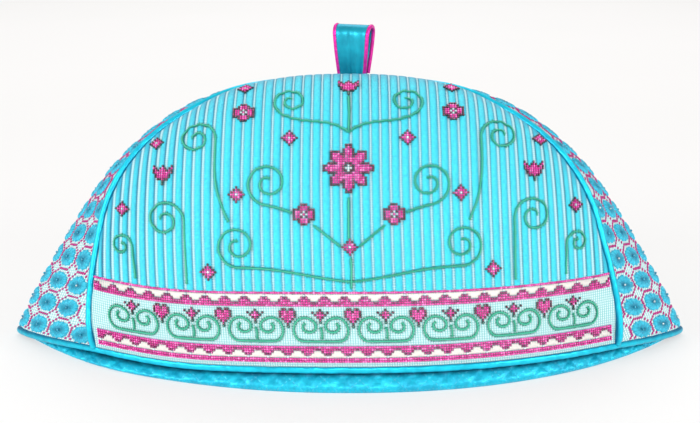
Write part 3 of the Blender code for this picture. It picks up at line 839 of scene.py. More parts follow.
def evenly(line, step, closed=False):
    # the same line, with its places about one step apart
    line = np.vstack([line, line[:1]]) if closed else np.asarray(line)
    lengths = lengthsAlong(line)
    count = max(int(round(lengths[-1] / step)), 2)
    wanted = np.linspace(0, lengths[-1], count + 1)
    result = np.stack([np.interp(wanted, lengths, line[:, k]) for k in range(3)], -1)
    return result[:-1] if closed else result


def proudSeam(side):
    # the line of a seam's piping, tucked under the hem's piping at both ends
    share = np.linspace(-1, 1, pipingPlan["seamSamples"])
    seam = seamPoint(1 - np.abs(share), side, np.where(share < 0, -1.0, 1.0))
    away = unit(seam * np.array(pipingPlan["seamOut"])
                + np.array([0.0, side * pipingPlan["seamForward"] * mm, 0.0]))
    height = seam[:, 2:] / mm
    tucked = np.clip((height - pipingPlan["tuckHeight"]) / pipingPlan["tuckHeight"], 0, 1)
    foot = np.exp(-((height - pipingPlan["footHeight"]) / pipingPlan["footWidth"]) ** 2)
    push = away * pipingPlan["proud"] + np.array([0.0, side * pipingPlan["footProud"], 0.0]) * foot
    return seam + push * tucked * mm


def hemLine():
    # all round the hem: for each side from one corner along the panel to the other corner
    corner = np.linspace(0, 1, pipingPlan["cornerSamples"], endpoint=False)
    parts = []
    for side in (-1.0, 1.0):
        start, end = (seamPoint(np.array(0.0), side, hand)[0] for hand in (side, -side))
        along = np.linspace(start, end, pipingPlan["hemSamples"], endpoint=False)
        back = np.linspace(1, 0, pipingPlan["cornerSamples"], endpoint=False)
        parts += [gussetPoint(side, side * corner), hemPoint(along, side), gussetPoint(-side, side * back)]
    return np.concatenate(parts)


def layPiping(name, node, line, closed, side=0.0):
    # facing tells the satin which way is outwards, where its painted highlight lies
    plan = pipingPlan
    line = evenly(line, plan["step"] * mm, closed)
    push = np.array([0.0, side * plan["crestForward"], plan["crestDown"]])
    facing = unit(line * np.array(plan["crestOut"]) + push * mm)
    keep(laidCord(name, [line], [facing], plan["radius"] * mm, plan["sides"], satinPiping, closed,
                  plan["pucker"] * mm, plan["puckerSize"] * mm), "turquoise_satin", [node])


layPiping("hemPiping", "hem_piping", hemLine(), True)
for pipingName, pipingNode, pipingSide in (("frontSeamPiping", "front_seam_piping", -1.0),
                                           ("backSeamPiping", "back_seam_piping", 1.0)):
    seamPath = proudSeam(pipingSide)
    lengths = lengthsAlong(seamPath)
    endRoom = pipingPlan["endRoom"] * mm
    inside = (lengths > endRoom) & (lengths < lengths[-1] - endRoom)
    layPiping(pipingName, pipingNode, seamPath[inside], False, pipingSide)
print("cosy: pipings are laid")


# quilted satin in millimetres: it stands free inside the shell and flares a little under the hem
liningPlan = {
    "thick": 3.6, "inset": 5.6, "free": 8.5, "top": 130.0, "tip": 0.8, "steepest": 1.3, "roundTop": 0.70,
    "room": 0.4, "low": 1.2, "flare": 5.4, "flareSlant": 0.78, "flareLeft": 3.6, "leftPlace": -134.0,
    "leftWidth": 36.0, "columns": 330, "diamond": 18.0, "diamondTall": 1.15, "groove": 0.8,
    "grooveWidth": 1.3, "pucker": 0.3, "edgeStitch": 1.6, "shadeRoom": 1.7, "shadeSoft": 1.6,
    "ripples": (1.9, 0.61), "rippleDrift": 0.23, "flatEdge": 5.0,
}
liningHeights = np.concatenate([[0.0], np.linspace(0.06, 1.0, 15)])
liningLevels = np.array([18.0, 26.0, 46.0, 68.0, 88.0, 105.0, 118.0, 127.0])
flareCurve = np.polyfit([0.0, 0.30, 0.66, 1.0], [0.75, 1.0, 0.60, 0.0], 3)


def liningDepth(x, halfWidth, halfDepth, power, inset):
    # the outline's depth, moved inwards square to the outline
    step = 1.0 * mm
    slope = (lensDepth(x + step, halfWidth, halfDepth, power)
             - lensDepth(x - step, halfWidth, halfDepth, power)) / (2 * step)
    slant = np.hypot(1.0, np.minimum(np.abs(slope), liningPlan["steepest"]))
    return lensDepth(x, halfWidth, halfDepth, power) - inset * slant


def liningRing(halfWidth, halfDepths, power, inset, height=0.0):
    ring = []
    columns = liningPlan["columns"]
    for side, halfDepth in zip((-1.0, 1.0), halfDepths):
        reach = halve(np.array(0.0), np.array(halfWidth),
                      lambda x: liningDepth(x, halfWidth, halfDepth, power, inset) > liningPlan["tip"] * mm)
        turn = math.pi * (np.arange(columns) / (columns - 1.0) - 0.5)
        x = -side * reach * np.sin(turn)
        depth = liningDepth(x, halfWidth, halfDepth, power, inset)
        ring.append(points(x, side * depth, height))
    return np.concatenate(ring)


def roomUnderHem(x, side):
    room = hemHeight(x, side) - (shellPlan["pipingRadius"] + liningPlan["room"]) * mm
    return np.maximum(room, liningPlan["low"] * mm)


def flareAt(x, side):
    spread = np.minimum(liningPlan["flare"] * mm, liningPlan["flareSlant"] * roomUnderHem(x, side))
    if side > 0:
        return spread
    left = np.exp(-((x / mm - liningPlan["leftPlace"]) / liningPlan["leftWidth"]) ** 2)
    return spread + liningPlan["flareLeft"] * mm * left


def centreDepth(z, side):
    line = panelLines(np.array([0.0]), side, np.linspace(0, 0.75, 200))[0]
    return abs(np.interp(z, line[:, 2], line[:, 1]))


def ridgeWidth(z):
    rows = stationAt(np.linspace(0, 1, 400))
    return float(np.interp(z, rows[:, 5], rows[:, 3]))


def liningRings(depthIn):
    rings = []
    width, depth = shellPlan["footHalfWidth"] * mm, shellPlan["footHalfDepth"] * mm
    base = liningRing(width, (depth, depth), shellPlan["footPoint"], liningPlan["inset"] * mm + depthIn)
    side = np.repeat([-1.0, 1.0], liningPlan["columns"])
    for height in liningHeights:
        ring = base.copy()
        for one in (-1.0, 1.0):
            here = side == one
            spread = flareAt(base[here, 0], one) * np.polyval(flareCurve, height)
            ring[here, 1] += one * spread
            ring[here, 2] = height * roomUnderHem(base[here, 0], one)
        rings.append(ring)
    for level in liningLevels:
        z = level * mm
        share = level / liningPlan["top"]
        inset = liningPlan["inset"] + (liningPlan["free"] - liningPlan["inset"]) * min(4 * share, 1.0)
        power = shellPlan["footPoint"] + (liningPlan["roundTop"] - shellPlan["footPoint"]) * share
        depths = tuple(centreDepth(z, one) + shellPlan["hemInset"] * mm for one in (-1.0, 1.0))
        rings.append(liningRing(ridgeWidth(z), depths, power, inset * mm + depthIn, z))
    return np.array(rings)


def quiltedLining():
    outer = liningRings(0.0)
    inner = liningRings(liningPlan["thick"] * mm)
    inner[-1, :, 2] -= liningPlan["thick"] * mm
    across = np.roll(outer, -1, axis=1) - np.roll(outer, 1, axis=1)
    normal = unit(np.cross(across, np.gradient(outer, axis=0)))
    run, up = lengthsAlong(outer[:1], 1) / mm, lengthsAlong(outer) / mm
    half = 0.5 * liningPlan["diamond"]
    groove = np.zeros(up.shape)
    for slope in (1.0, -1.0):
        offset = np.abs((run + slope * up * liningPlan["diamondTall"]) % (2 * half) - half)
        groove = np.maximum(groove, np.exp(-((half - offset) / liningPlan["grooveWidth"]) ** 2))
    short, long = liningPlan["ripples"]
    drift = 2.0 * np.sin(run * liningPlan["rippleDrift"])
    ripple = np.sin(run * short + drift) * np.sin(run * long + 1.0)
    fade = np.concatenate([liningHeights * liningPlan["flatEdge"], np.ones(len(liningLevels))])
    fade = np.clip(fade, 0, 1)[:, None]
    push = (liningPlan["pucker"] * ripple - liningPlan["groove"] * groove) * fade
    outer = outer + normal * (push * mm)[..., None]
    outer[0, :, 2] = 0.0
    rows, columns = outer.shape[:2]
    ring = np.arange(columns // 2 - 1)
    cap = (rows - 1) * columns + np.stack([ring, ring + 1, columns - 2 - ring, columns - 1 - ring], -1)
    sheet = closedSheet("liningCloth", outer, inner, np.stack([run + 0 * up, up], -1), True,
                        np.concatenate([cap, cap[:, ::-1] + rows * columns]))
    outward(sheet.data)
    spots = np.zeros(3 * len(sheet.data.vertices))
    sheet.data.vertices.foreach_get("co", spots)
    x, y, z = spots.reshape(-1, 3).T
    under = np.where(y < 0, roomUnderHem(x, -1.0), roomUnderHem(x, 1.0)) - z
    addValues(sheet.data, underHem=under / mm)
    return sheet


def liningFinish():
    # satin with painted sheen in soft patches, quilting stitches in diamonds, a row of them near its edge,
    # and painted shade in the gap under the hem's piping
    finish = Finish("turquoise satin lining",
                    {"Roughness": 0.42, "Metallic": 0.35, "Specular IOR Level": 0.4})
    run, up = finish.lay()
    cloud, sheen = finish.noise(0.009), finish.noise(0.0016)
    size, tall = liningPlan["diamond"], up * liningPlan["diamondTall"]
    offRows = [abs((row % size) - 0.5 * size) for row in (run + tall, run - tall)]
    offRows.append(abs(up - liningPlan["edgeStitch"]))
    offRow = maths("MINIMUM", maths("MINIMUM", offRows[0], offRows[1]), offRows[2])
    stitched = (1.0 - offRow.above(0.3, 0.4)) * (run * 0.5).wave(1.0).above(0.4, 0.3)
    lit = (cloud.above(0.46, 0.6) * 0.75 + sheen.above(0.60, 0.3) * 0.3).kept()
    satin = finish.blend(lit, colours["satin"], colours["liningLight"])
    satin = finish.blend(stitched * 0.09, satin, colours["ladderWhite"])
    # painted shade: the lining turns dark where it lies close under the hem's piping
    crease = 1.0 - finish.value("underHem").above(liningPlan["shadeRoom"], liningPlan["shadeSoft"])
    finish.feed("Base Color", finish.blend(crease * 0.85, satin, colours["crease"]))
    finish.raised(cloud * 0.7 + sheen * 0.25 - stitched * 0.15, 0.0005)
    return finish.material


liningCloth = quiltedLining()
keep(liningCloth, "quilted_satin", ["lining"], liningFinish())
print("cosy: the lining is hung")


# a ribbon with corded edges, turned a little to the right, in millimetres and degrees
loopPlan = {"turn": 20.0, "centre": (2.2, 12.8, 0.0), "width": 17.4, "cloth": 1.2, "top": 177.0,
            "footLeft": 147.0, "footRight": 149.2, "gap": 10.2, "pinch": 6.4, "cordRadius": 1.05,
            "cordRoom": 0.35, "cordLift": 0.5, "cordSides": 12, "cordStep": 0.5, "edge": 0.9,
            "sideSteps": 18, "turnSteps": 20, "columns": 33, "gather": 0.28, "fold": 0.55, "foldRate": 1.05,
            "foldPlace": -1.5, "crease": 1.5, "creasePlace": -0.8, "creaseWidth": 0.9,
            "spreadPower": 1.2, "gatherPower": 1.5, "foldPower": 1.6}
ribbonSatin = satinFinish("teal ribbon", "teal", "tealLight", 0.008, 0.38)
pinkSatin = satinFinish("hot pink cord", "pink", "hotPink", 0.002, 0.36)


def loopPath(foot):
    # depth and height along the loop, up from one foot and down to the other
    half = 0.5 * loopPlan["gap"]
    turnHeight = loopPlan["top"] - half - 0.5 * loopPlan["cloth"]
    share = np.arange(loopPlan["sideSteps"]) / loopPlan["sideSteps"]
    spread = np.sin(0.5 * math.pi * share) ** loopPlan["spreadPower"]
    depth = 0.5 * loopPlan["pinch"] + (half - 0.5 * loopPlan["pinch"]) * spread
    side = np.stack([-depth, foot + (turnHeight - foot) * share], -1)
    angle = math.pi * np.arange(loopPlan["turnSteps"] + 1) / loopPlan["turnSteps"]
    turn = np.stack([-half * np.cos(angle), turnHeight + half * np.sin(angle)], -1)
    return np.concatenate([side, turn, side[::-1] * np.array([-1, 1])])


def loopPlace(width, depth, height):
    # a place on the loop, turned with it
    turn = math.radians(loopPlan["turn"])
    x = width * math.cos(turn) + depth * math.sin(turn)
    y = depth * math.cos(turn) - width * math.sin(turn)
    return (np.array(loopPlan["centre"]) + points(x, y, height)) * mm


def loopFoot(width):
    share = width / loopPlan["width"] + 0.5
    return loopPlan["footLeft"] + (loopPlan["footRight"] - loopPlan["footLeft"]) * share


def lowness(path):
    # 1 at the loop's two feet and 0 at its top
    count = len(path)
    return 1 - np.minimum(np.arange(count), np.arange(count)[::-1]) / (0.5 * count)


def gathered(width, path):
    # the ribbon is gathered towards its feet
    return width * (1 - loopPlan["gather"] * lowness(path) ** loopPlan["gatherPower"])


def loopRibbonSheet():
    outer, inner = [], []
    for width in np.linspace(-0.5, 0.5, loopPlan["columns"]) * (loopPlan["width"] + loopPlan["edge"]):
        path = loopPath(loopFoot(width))
        along = unit(np.gradient(path, axis=0))
        away = np.stack([-along[:, 1], along[:, 0]], -1)
        crease = np.exp(-((width - loopPlan["creasePlace"]) / loopPlan["creaseWidth"]) ** 2)
        fold = loopPlan["fold"] * np.cos((width - loopPlan["foldPlace"]) * loopPlan["foldRate"])
        fold = (fold - loopPlan["crease"] * crease) * lowness(path) ** loopPlan["foldPower"]
        push = away * (0.5 * loopPlan["cloth"] + fold)[:, None]
        pull = away * (fold - 0.5 * loopPlan["cloth"])[:, None]
        across = gathered(width, path)
        outer.append(loopPlace(across, path[:, 0] + push[:, 0], path[:, 1] + push[:, 1]))
        inner.append(loopPlace(across, path[:, 0] + pull[:, 0], path[:, 1] + pull[:, 1]))
    sheet = closedSheet("loopRibbon", np.array(outer), np.array(inner))
    outward(sheet.data)
    return sheet


loopRibbon = loopRibbonSheet()
keep(loopRibbon, "teal_ribbon", ["loop_ribbon"], ribbonSatin)
loopEdge = 0.5 * loopPlan["width"] + loopPlan["cordRadius"] + loopPlan["cordRoom"]
for cordName, cordNode, cordWidth in (("loopCordLeft", "loop_cord_left", -loopEdge),
                                      ("loopCordRight", "loop_cord_right", loopEdge)):
    path = loopPath(loopFoot(cordWidth) + loopPlan["cordLift"])
    line = evenly(loopPlace(gathered(cordWidth, path), path[:, 0], path[:, 1]), loopPlan["cordStep"] * mm)
    keep(laidCord(cordName, [line], [np.tile([0.0, -1.0, 0.0], (len(line), 1))],
                  loopPlan["cordRadius"] * mm, loopPlan["cordSides"], pinkSatin), "pink_cord", [cordNode])
print("cosy: the loop is sewn")


# the small pieces, in millimetres, are each made once and sewn on many times
stitchPlan = {"ribWidth": 3.56, "ribHeight": 0.85, "ribEdge": 0.90, "shoulder": 0.47, "foot": -0.12,
              "tentLength": 1.5, "tentWidth": 0.74, "tentHeight": 0.5,
              "tickLength": 2.04, "tickWidth": 0.24, "tickHeight": 0.42}
wheelPlan = {"across": 0.42, "up": 0.37, "sides": 26, "beadLift": 1.0, "beadSize": 0.72, "lump": 0.055,
             "wobble": 0.8, "rim": 0.6, "clearShare": 0.2,
             "rings": ((1.0, -0.1, 0.0), (1.0, 0.45, 0.10), (0.84, 1.05, 0.17), (0.50, 1.30, 0.12),
                       (0.15, 0.80, 0.0))}


def stitch(name, sections, length, width, height, edge=0.0):
    # one stitch lies along x: place, half width and height of each section; edge is the share of its
    # height that its two long edges have
    rings = []
    for place, half, high in sections:
        x, y, z = place * length, half * width, high * height
        low = z * edge if edge else stitchPlan["foot"]
        shoulder = stitchPlan["shoulder"] * y
        rings.append([(x, -y, low), (x, -shoulder, z), (x, shoulder, z), (x, y, low)])
    return loftedPiece(name, np.array(rings) * mm, bool(edge))


def bead(name, sections, sides):
    # a bead lies along x: place and radius of each section
    turns = 2 * math.pi * np.arange(sides) / sides
    rings = [[(x, r * math.cos(turn), r * math.sin(turn)) for turn in turns] for x, r in sections]
    return loftedPiece(name, np.array(rings) * mm)


ribSections = ((-0.5, 0.11, 0.14), (-0.32, 0.51, 0.70), (0.0, 0.56, 1.0), (0.32, 0.51, 0.70),
               (0.5, 0.11, 0.14))
tentSections = ((-0.5, 0.18, 0.25), (-0.26, 0.5, 1.0), (0.26, 0.5, 1.0), (0.5, 0.18, 0.25))
ribStitch = stitch("ribStitch", ribSections, stitchPlan["ribWidth"] * w, w, stitchPlan["ribHeight"],
                   stitchPlan["ribEdge"])
tentStitch = stitch("tentStitch", tentSections, stitchPlan["tentLength"] * w, stitchPlan["tentWidth"] * w,
                    stitchPlan["tentHeight"])
tickStitch = stitch("tickStitch", ((-0.5, 1.0, 1.0), (0.5, 1.0, 1.0)),
                    stitchPlan["tickLength"], stitchPlan["tickWidth"], stitchPlan["tickHeight"])
seedBead = bead("seedBead", ((-0.56, 0.36), (-0.38, 0.66), (0.38, 0.66), (0.56, 0.36)), 7)
wheelBead = bead("wheelBead", ((-0.72, 0.42), (-0.5, 0.82), (0.0, 0.95), (0.5, 0.82), (0.72, 0.42)), 8)
templates = [ribStitch, tentStitch, tickStitch, seedBead, wheelBead]


def beadFinish(name, colour, dark, glint, even):
    # glass beads with a painted highlight at the top; even is how alike the highlights are
    finish = Finish(name, {"Roughness": 0.22, "Specular IOR Level": 0.9})
    run, turn = finish.lay()
    tint = finish.value("tint")
    spot = (1.0 - abs(turn - 0.5) * 4.4).kept() * (1.0 - abs(run - 0.5) * 2.8).kept()
    glass = finish.blend(tint, dark, colour)
    bright = (spot * 2.0).kept() * (tint ** 4.0 * (1.0 - even) + even)
    finish.feed("Base Color", finish.blend(bright, glass, glint))
    return finish.material


def wheelFinish():
    # satin stitches that run from the rim to the middle, darker towards the middle, between the threads and
    # in cloudy patches
    finish = Finish("turquoise wheels", {"Roughness": 0.42})
    run, turn = finish.lay()
    threads = turn.wave(1.0 / 13.0)
    cloud = finish.noise(0.0022)
    deep = run.above(0.72, 0.5) * 0.55 + (1.0 - threads) * 0.3 + cloud.above(0.5, 0.4) * 0.5 - 0.2
    finish.feed("Base Color", finish.blend(deep.kept(), colours["wheel"], colours["wheelDeep"]))
    finish.raised(threads, 0.0003)
    return finish.material


ribFloss = flossFinish("turquoise rib stitches", "turquoise", "turquoiseLight", 1.3)
whiteFloss = flossFinish("white stitches", "whiteDark", "white")
ringFloss = flossFinish("pink net stitches", "pinkDark", "pink")
couchingFloss = flossFinish("dark green couching", "leafShade", "leafDark")
# each bead's glass, its darker glass, the colour of its painted highlight and how alike the highlights are
beadColours = {
    "magenta beads": ((0.90, 0.010, 0.42), (0.50, 0.003, 0.19), (0.98, 0.50, 0.82), 0.1),
    "wine beads": ((0.42, 0.012, 0.190), (0.14, 0.004, 0.060), (0.85, 0.30, 0.60), 0.15),
    "burgundy beads": ((0.022, 0.001, 0.010), (0.006, 0.000, 0.003), (0.66, 0.16, 0.30), 0.22),
    "bottle green beads": ((0.004, 0.050, 0.036), (0.002, 0.024, 0.018), (0.10, 0.34, 0.28), 0.5),
    "teal beads": ((0.010, 0.380, 0.560), (0.004, 0.240, 0.400), (0.20, 0.70, 0.82), 0.5),
    "clear beads": ((0.60, 0.78, 0.80), (0.36, 0.52, 0.56), (0.90, 0.95, 0.95), 0.5),
}
beadFinishes = {name: beadFinish(name, *values) for name, values in beadColours.items()}


def cordFinish():
    finish = Finish("green couched cord", {"Roughness": 0.5})
    crest = finish.value("crest")
    run = finish.value("run")
    twist = (run / 0.0009 + finish.value("round") * 2.0).wave(1.0)
    # painted highlight along the cord's outward crest and painted shade on its flanks; the twist adds stripes
    shade = (crest.above(0.88, 0.2) * 0.8 + twist * 0.2).kept()
    finish.feed("Base Color", finish.blend(shade, colours["leafDark"], colours["leaf"]))
    finish.raised(twist, 0.0001)
    return finish.material


greenCord = cordFinish()

# charts of beads, one letter to a mesh: P magenta, R wine, D burgundy, G bottle green, W clear
charts = {
    "heart": [".DD.DD.", "DPPDPPD", "DPPPPPD", "DPPPPPD", ".DPPPD.", "..DPD..", "...D...", "...G..."],
    "bud": ["...D...", "D.DPD.D", ".DPPPD.", "..DPD..", "...D...", "...G..."],
    "star": ["...DDD...", "..DPPPD..", "DDDPPPDDD", "DPPDWDPPD", "DPPWPWPPD", "DPPDWDPPD", "DDDPPPDDD",
             "..DPPPD..", "...DDD..."],
    "tulip": ["D...D...D", "PD.DPD.DP", "DPDPPPDPD", "DPPPPPPPD", ".DPPPPPD.", ".DPPPPPD.", "..DDPDD..",
              "....G....", "....G...."],
    "lozenge": ["...D...", "..DPD..", ".DPPPD.", "DPPWPPD", ".DPPPD.", "..DPD..", "...D..."],
}
# one repeat of a scalloped band from its outer edge; white stitches cover the dots
scallop = ["PPPPPPPP", "W.......", "RR.....R", "PPR...RP", "PPPRRRPP", "PPPPPPPP"]
scallopWhite = (0, 1, 2, 3, 3, 3, 2, 1)    # rows of white in each column
beads = {"P": [], "R": [], "D": [], "G": [], "W": []}


def chartAt(chart, middle, top, lift, upsideDown=False):
    # middle is the mesh column of the chart's middle, top its highest row
    rows = charts[chart] if isinstance(chart, str) else chart
    for r, row in enumerate(rows):
        for c, letter in enumerate(row):
            if letter in beads:
                u = middle + c - (len(row) - 1) // 2
                v = top + r if upsideDown else top - r
                beads[letter].append((u, v, lift))


# the border, in meshes: two scalloped bands, hearts and buds over pairs of scrolls
borderPlan = {"upperTop": 29.5, "lowerBottom": 2.5, "firstScallop": -115, "heartTop": 22.95, "budTop": 22.6,
              "beadLift": 0.5, "edgeRoom": 2.4, "halfRepeat": 13, "scrollFoot": 12.6, "scrollTall": 0.9}
whiteU, whiteV, whiteRows = [], [], []
for joint in range(borderPlan["firstScallop"], frontPlan["edge"] + 1, 8):
    for c in range(8):
        u = joint + c
        if abs(u) > frontPlan["edge"] - borderPlan["edgeRoom"]:
            continue
        beads["P"].append((u, borderPlan["lowerBottom"] - 1, borderPlan["beadLift"]))
        for r, row in enumerate(scallop):
            if row[c] != ".":
                beads[row[c]].append((u, borderPlan["upperTop"] - r, borderPlan["beadLift"]))
                beads[row[c]].append((u, borderPlan["lowerBottom"] + r, borderPlan["beadLift"]))
        if scallopWhite[c]:
            middle = 0.5 + 0.5 * scallopWhite[c]
            whiteU += [u, u]
            whiteV += [borderPlan["upperTop"] - middle, borderPlan["lowerBottom"] + middle]
            whiteRows += [scallopWhite[c]] * 2
# half of a pair of scrolls, millimetres out from its middle and up from its foot
scrollHalf = np.array([
    (0.0, 0.0), (-4.0, 0.0), (-8.0, 0.05), (-10.8, 0.4), (-12.6, 2.2), (-13.6, 4.6), (-13.8, 7.4),
    (-12.8, 10.6), (-10.6, 12.9), (-7.8, 13.7), (-4.8, 12.7), (-2.7, 10.4), (-2.5, 7.8), (-3.8, 5.9),
    (-6.2, 5.2), (-8.5, 6.3), (-9.2, 8.4), (-8.7, 9.8), (-7.6, 10.4)])
scrollStem = np.array([(0.2, 1.2), (0.5, 3.4), (0.3, 5.6), (-0.3, 7.4)])


def smoothLine(knots, steps=10):
    # a soft curve through the knots
    knots = np.asarray(knots, float)
    padded = np.vstack([2 * knots[0] - knots[1], knots, 2 * knots[-1] - knots[-2]])
    t = np.arange(steps)[:, None] / steps
    parts = [softly(*four, t) for four in zip(padded, padded[1:], padded[2:], padded[3:])]
    return np.vstack(parts + [knots[-1:]])


cordLines = []                   # green cords as millimetres right of the middle and up from the edge
for k in range(-7, 8):
    place = k * borderPlan["halfRepeat"]
    if k % 2 == 0:
        chartAt("heart", place, borderPlan["heartTop"], borderPlan["beadLift"])
        continue
    chartAt("bud", place, borderPlan["budTop"], borderPlan["beadLift"])
    half = smoothLine(scrollHalf) * np.array([1.0, borderPlan["scrollTall"]])
    whole = np.vstack([half[::-1], half[1:] * np.array([-1, 1])])
    foot = np.array([place * w, borderPlan["scrollFoot"]])
    cordLines += [whole + foot, smoothLine(scrollStem, 5) + foot]

# the field, in millimetres: a spreading bush of couched stems with beaded flowers
# tendrils: base, its direction, curl's centre, radius, turns, where the curl starts in degrees and its hand
tendrils = [
    ((0.0, 43.0), (1.0, 0.10), (57.0, 61.0), 11.0, 1.55, -90, 1),
    ((0.0, 57.0), (1.0, 0.75), (41.0, 93.0), 11.5, 1.55, -80, 1),
    ((0.0, 121.0), (1.0, 0.9), (30.0, 140.0), 9.5, 1.45, -60, 1),
    ((84.0, 41.0), (0.0, 1.0), (95.0, 73.0), 10.5, 1.5, 180, -1),
    ((61.0, 73.0), (0.5, 1.0), (79.0, 118.0), 10.5, 1.5, 180, -1),
    ((112.0, 41.0), (0.0, 1.0), (119.5, 57.0), 6.5, 1.3, 180, -1),
]
fieldMotifs = [("star", 23.0, 75.5), ("tulip", 97.0, 96.0), ("star", 55.0, 131.0), ("lozenge", 57.0, 86.0),
               ("lozenge", 73.0, 46.0), ("lozenge", 54.0, 150.5), ("lozenge", 31.0, 116.0),
               ("lozenge", 119.0, 76.0), ("lozenge", 101.0, 116.0)]
daisyPlan = {"place": 79, "petals": 8, "inner": 5.2, "outer": 10.6, "pupil": 1.2, "eye": 2.6, "rim": 1.25,
             "room": 14.0}
fieldPlan = {"lift": 1.0, "topTulip": 155.0, "midLozenge": 60.0, "midRoom": 4.0, "motifRoom": 0.48,
             "curl": 0.80, "curlSteps": 70, "stemSteps": 40, "stemHandle": 0.42}


def tendrilLine(base, aim, centre, radius, turns, start, hand):
    # a stem that runs smoothly into a curl
    start = math.radians(start)
    sweep = start + hand * np.linspace(0, 2 * math.pi * turns, fieldPlan["curlSteps"])
    shrink = radius * (1 - fieldPlan["curl"] * np.linspace(0, 1, fieldPlan["curlSteps"]))
    curl = np.array(centre) + np.stack([np.cos(sweep), np.sin(sweep)], -1) * shrink[:, None]
    base, entry = np.array(base), curl[0]
    reach = fieldPlan["stemHandle"] * np.linalg.norm(entry - base)
    arrive = hand * np.array([-math.sin(start), math.cos(start)])
    aim = np.array(aim) / np.linalg.norm(aim)
    t = np.linspace(0, 1, fieldPlan["stemSteps"], endpoint=False)[:, None]
    return np.vstack([bent(base, base + aim * reach, entry - arrive * reach, entry, t), curl])


def clearOf(line, motifs):
    # the stretches of a cord that don't run under a beaded motif
    free = np.ones(len(line), bool)
    for x, y, room in motifs:
        free &= np.hypot(line[:, 0] - x, line[:, 1] - y) > room
    cuts = np.flatnonzero(np.diff(free.astype(int))) + 1
    stretches = zip(np.split(line, cuts), np.split(free, cuts))
    return [part for part, isFree in stretches if isFree[0] and len(part) > 4]


motifRooms = [(0.0, (daisyPlan["place"] + 0.5) * w, daisyPlan["room"]),
              (0.0, fieldPlan["midLozenge"], fieldPlan["midRoom"])]
for motif, x, y in fieldMotifs:
    rows = len(charts[motif])
    for hand in (1, -1):
        chartAt(motif, round(hand * x / w), round(y / w + 0.5 * rows) + 0.5, fieldPlan["lift"])
        motifRooms.append((hand * x, y, fieldPlan["motifRoom"] * rows * w))
chartAt("tulip", 0, round(fieldPlan["topTulip"] / w) + 0.5, fieldPlan["lift"])
chartAt("lozenge", 0, round(fieldPlan["midLozenge"] / w) + 3.5, fieldPlan["lift"])
for tendril in tendrils:
    line = tendrilLine(*tendril)
    for hand in (1, -1):
        cordLines += clearOf(line * np.array([hand, 1]), motifRooms)
cordLines += clearOf(smoothLine([(0.0, 39.5), (0.4, 52.0), (-0.4, 64.0), (0.0, 88.0)]), motifRooms)
cordLines.append(smoothLine([(0.0, 121.0), (0.3, 132.0), (0.0, 144.0)]))
for du in range(-11, 12):
    for dv in range(-11, 12):
        away = math.hypot(du, dv)
        petal = abs(math.cos(0.5 * daisyPlan["petals"] * math.atan2(dv, du)))
        edge = daisyPlan["inner"] + (daisyPlan["outer"] - daisyPlan["inner"]) * petal ** 0.8
        if away <= edge:
            dark = away < daisyPlan["eye"] or away > edge - daisyPlan["rim"]
            letter = "W" if away < daisyPlan["pupil"] else "D" if dark else "P"
            beads[letter].append((du, daisyPlan["place"] + 0.5 + dv, fieldPlan["lift"]))


def sewnOnFront(name, piece, spots, finish, turn=0.0, size=1.0, stretch=(1, 1, 1), sizeSpread=0.06,
                turnSpread=0.1, seed=1, tints=None):
    # spots hold meshes across, meshes up and millimetres off the cloth
    spots = np.asarray(spots, float)
    u, v, lift = spots[:, 0], spots[:, 1], spots[:, 2] * mm
    # a random tone for each piece, or painted shade where it is given
    tint = np.random.default_rng(seed).random(len(spots)) if tints is None else tints
    turn = np.broadcast_to(turn, u.shape)
    item = sewn(name, piece, frontFace.at(u, v, lift), frontFace.facing(u, v), frontFace.toward(u, v, turn),
                finish, size, stretch, tint, sizeSpread, turnSpread, seed)
    return keep(item, "needlework")


# ribs in meshes, every fourth one; they are pressed flat at the top, and painted shade darkens their stitches
# there
ribPlan = {"first": -109, "pitch": 4, "past": 0.7, "crownEnd": 72.0, "crownRows": 9.0, "fadeRows": 12.0,
           "flat": 0.2, "sizeSpread": 0.025, "turnSpread": 0.02}
ribSpots, ribFlatAndShade = [], []
for u in range(ribPlan["first"], frontPlan["edge"] - 1, ribPlan["pitch"]):
    top = float(min(frontFace.reach(u - 0.6), frontFace.reach(u + 0.6))) + ribPlan["past"]
    rows = np.arange(frontPlan["borderMeshes"], int(top)) + 0.5
    ribSpots += [(u, v, 0.0) for v in rows]
    crown = max(0.0, 1 - (abs(u) / ribPlan["crownEnd"]) ** 2)
    ribFlatAndShade += list(np.clip((top - rows - ribPlan["crownRows"] * crown) / ribPlan["fadeRows"], 0.0, 1.0))
ribFlatAndShade = np.array(ribFlatAndShade)
ribTall = ribPlan["flat"] + (1 - ribPlan["flat"]) * ribFlatAndShade
# one share near the top both flattens the ribs and is sewn on as painted shade that darkens their stitches
sewnOnFront("ribStitches", ribStitch, ribSpots, ribFloss, stretch=points(1.0, 1.0, ribTall),
            sizeSpread=ribPlan["sizeSpread"], turnSpread=ribPlan["turnSpread"], seed=3, tints=ribFlatAndShade)
whitePlan = {"longer": 1.08, "wider": 1.02, "tall": 0.62, "lift": 0.05}
whiteStretch = points(np.array(whiteRows) * whitePlan["longer"] / stitchPlan["ribWidth"], whitePlan["wider"],
                      whitePlan["tall"])
sewnOnFront("whiteScallops", ribStitch, points(whiteU, whiteV, whitePlan["lift"]), whiteFloss,
            0.5 * math.pi, stretch=whiteStretch, sizeSpread=0.02, turnSpread=0.03, seed=5)
for letter, beadName, beadLook, size in (
        ("P", "magentaBeads", "magenta beads", 1.0), ("R", "wineBeads", "wine beads", 1.0),
        ("D", "burgundyBeads", "burgundy beads", 1.04), ("G", "greenBeads", "bottle green beads", 1.3),
        ("W", "clearBeads", "clear beads", 1.0)):
    beadSpots = sorted(set(beads[letter]))
    sewnOnFront(beadName, seedBead, beadSpots, beadFinishes[beadLook], math.radians(45), size,
                turnSpread=0.35, seed=7)
print("cosy: beads and stitches are sewn on the front")

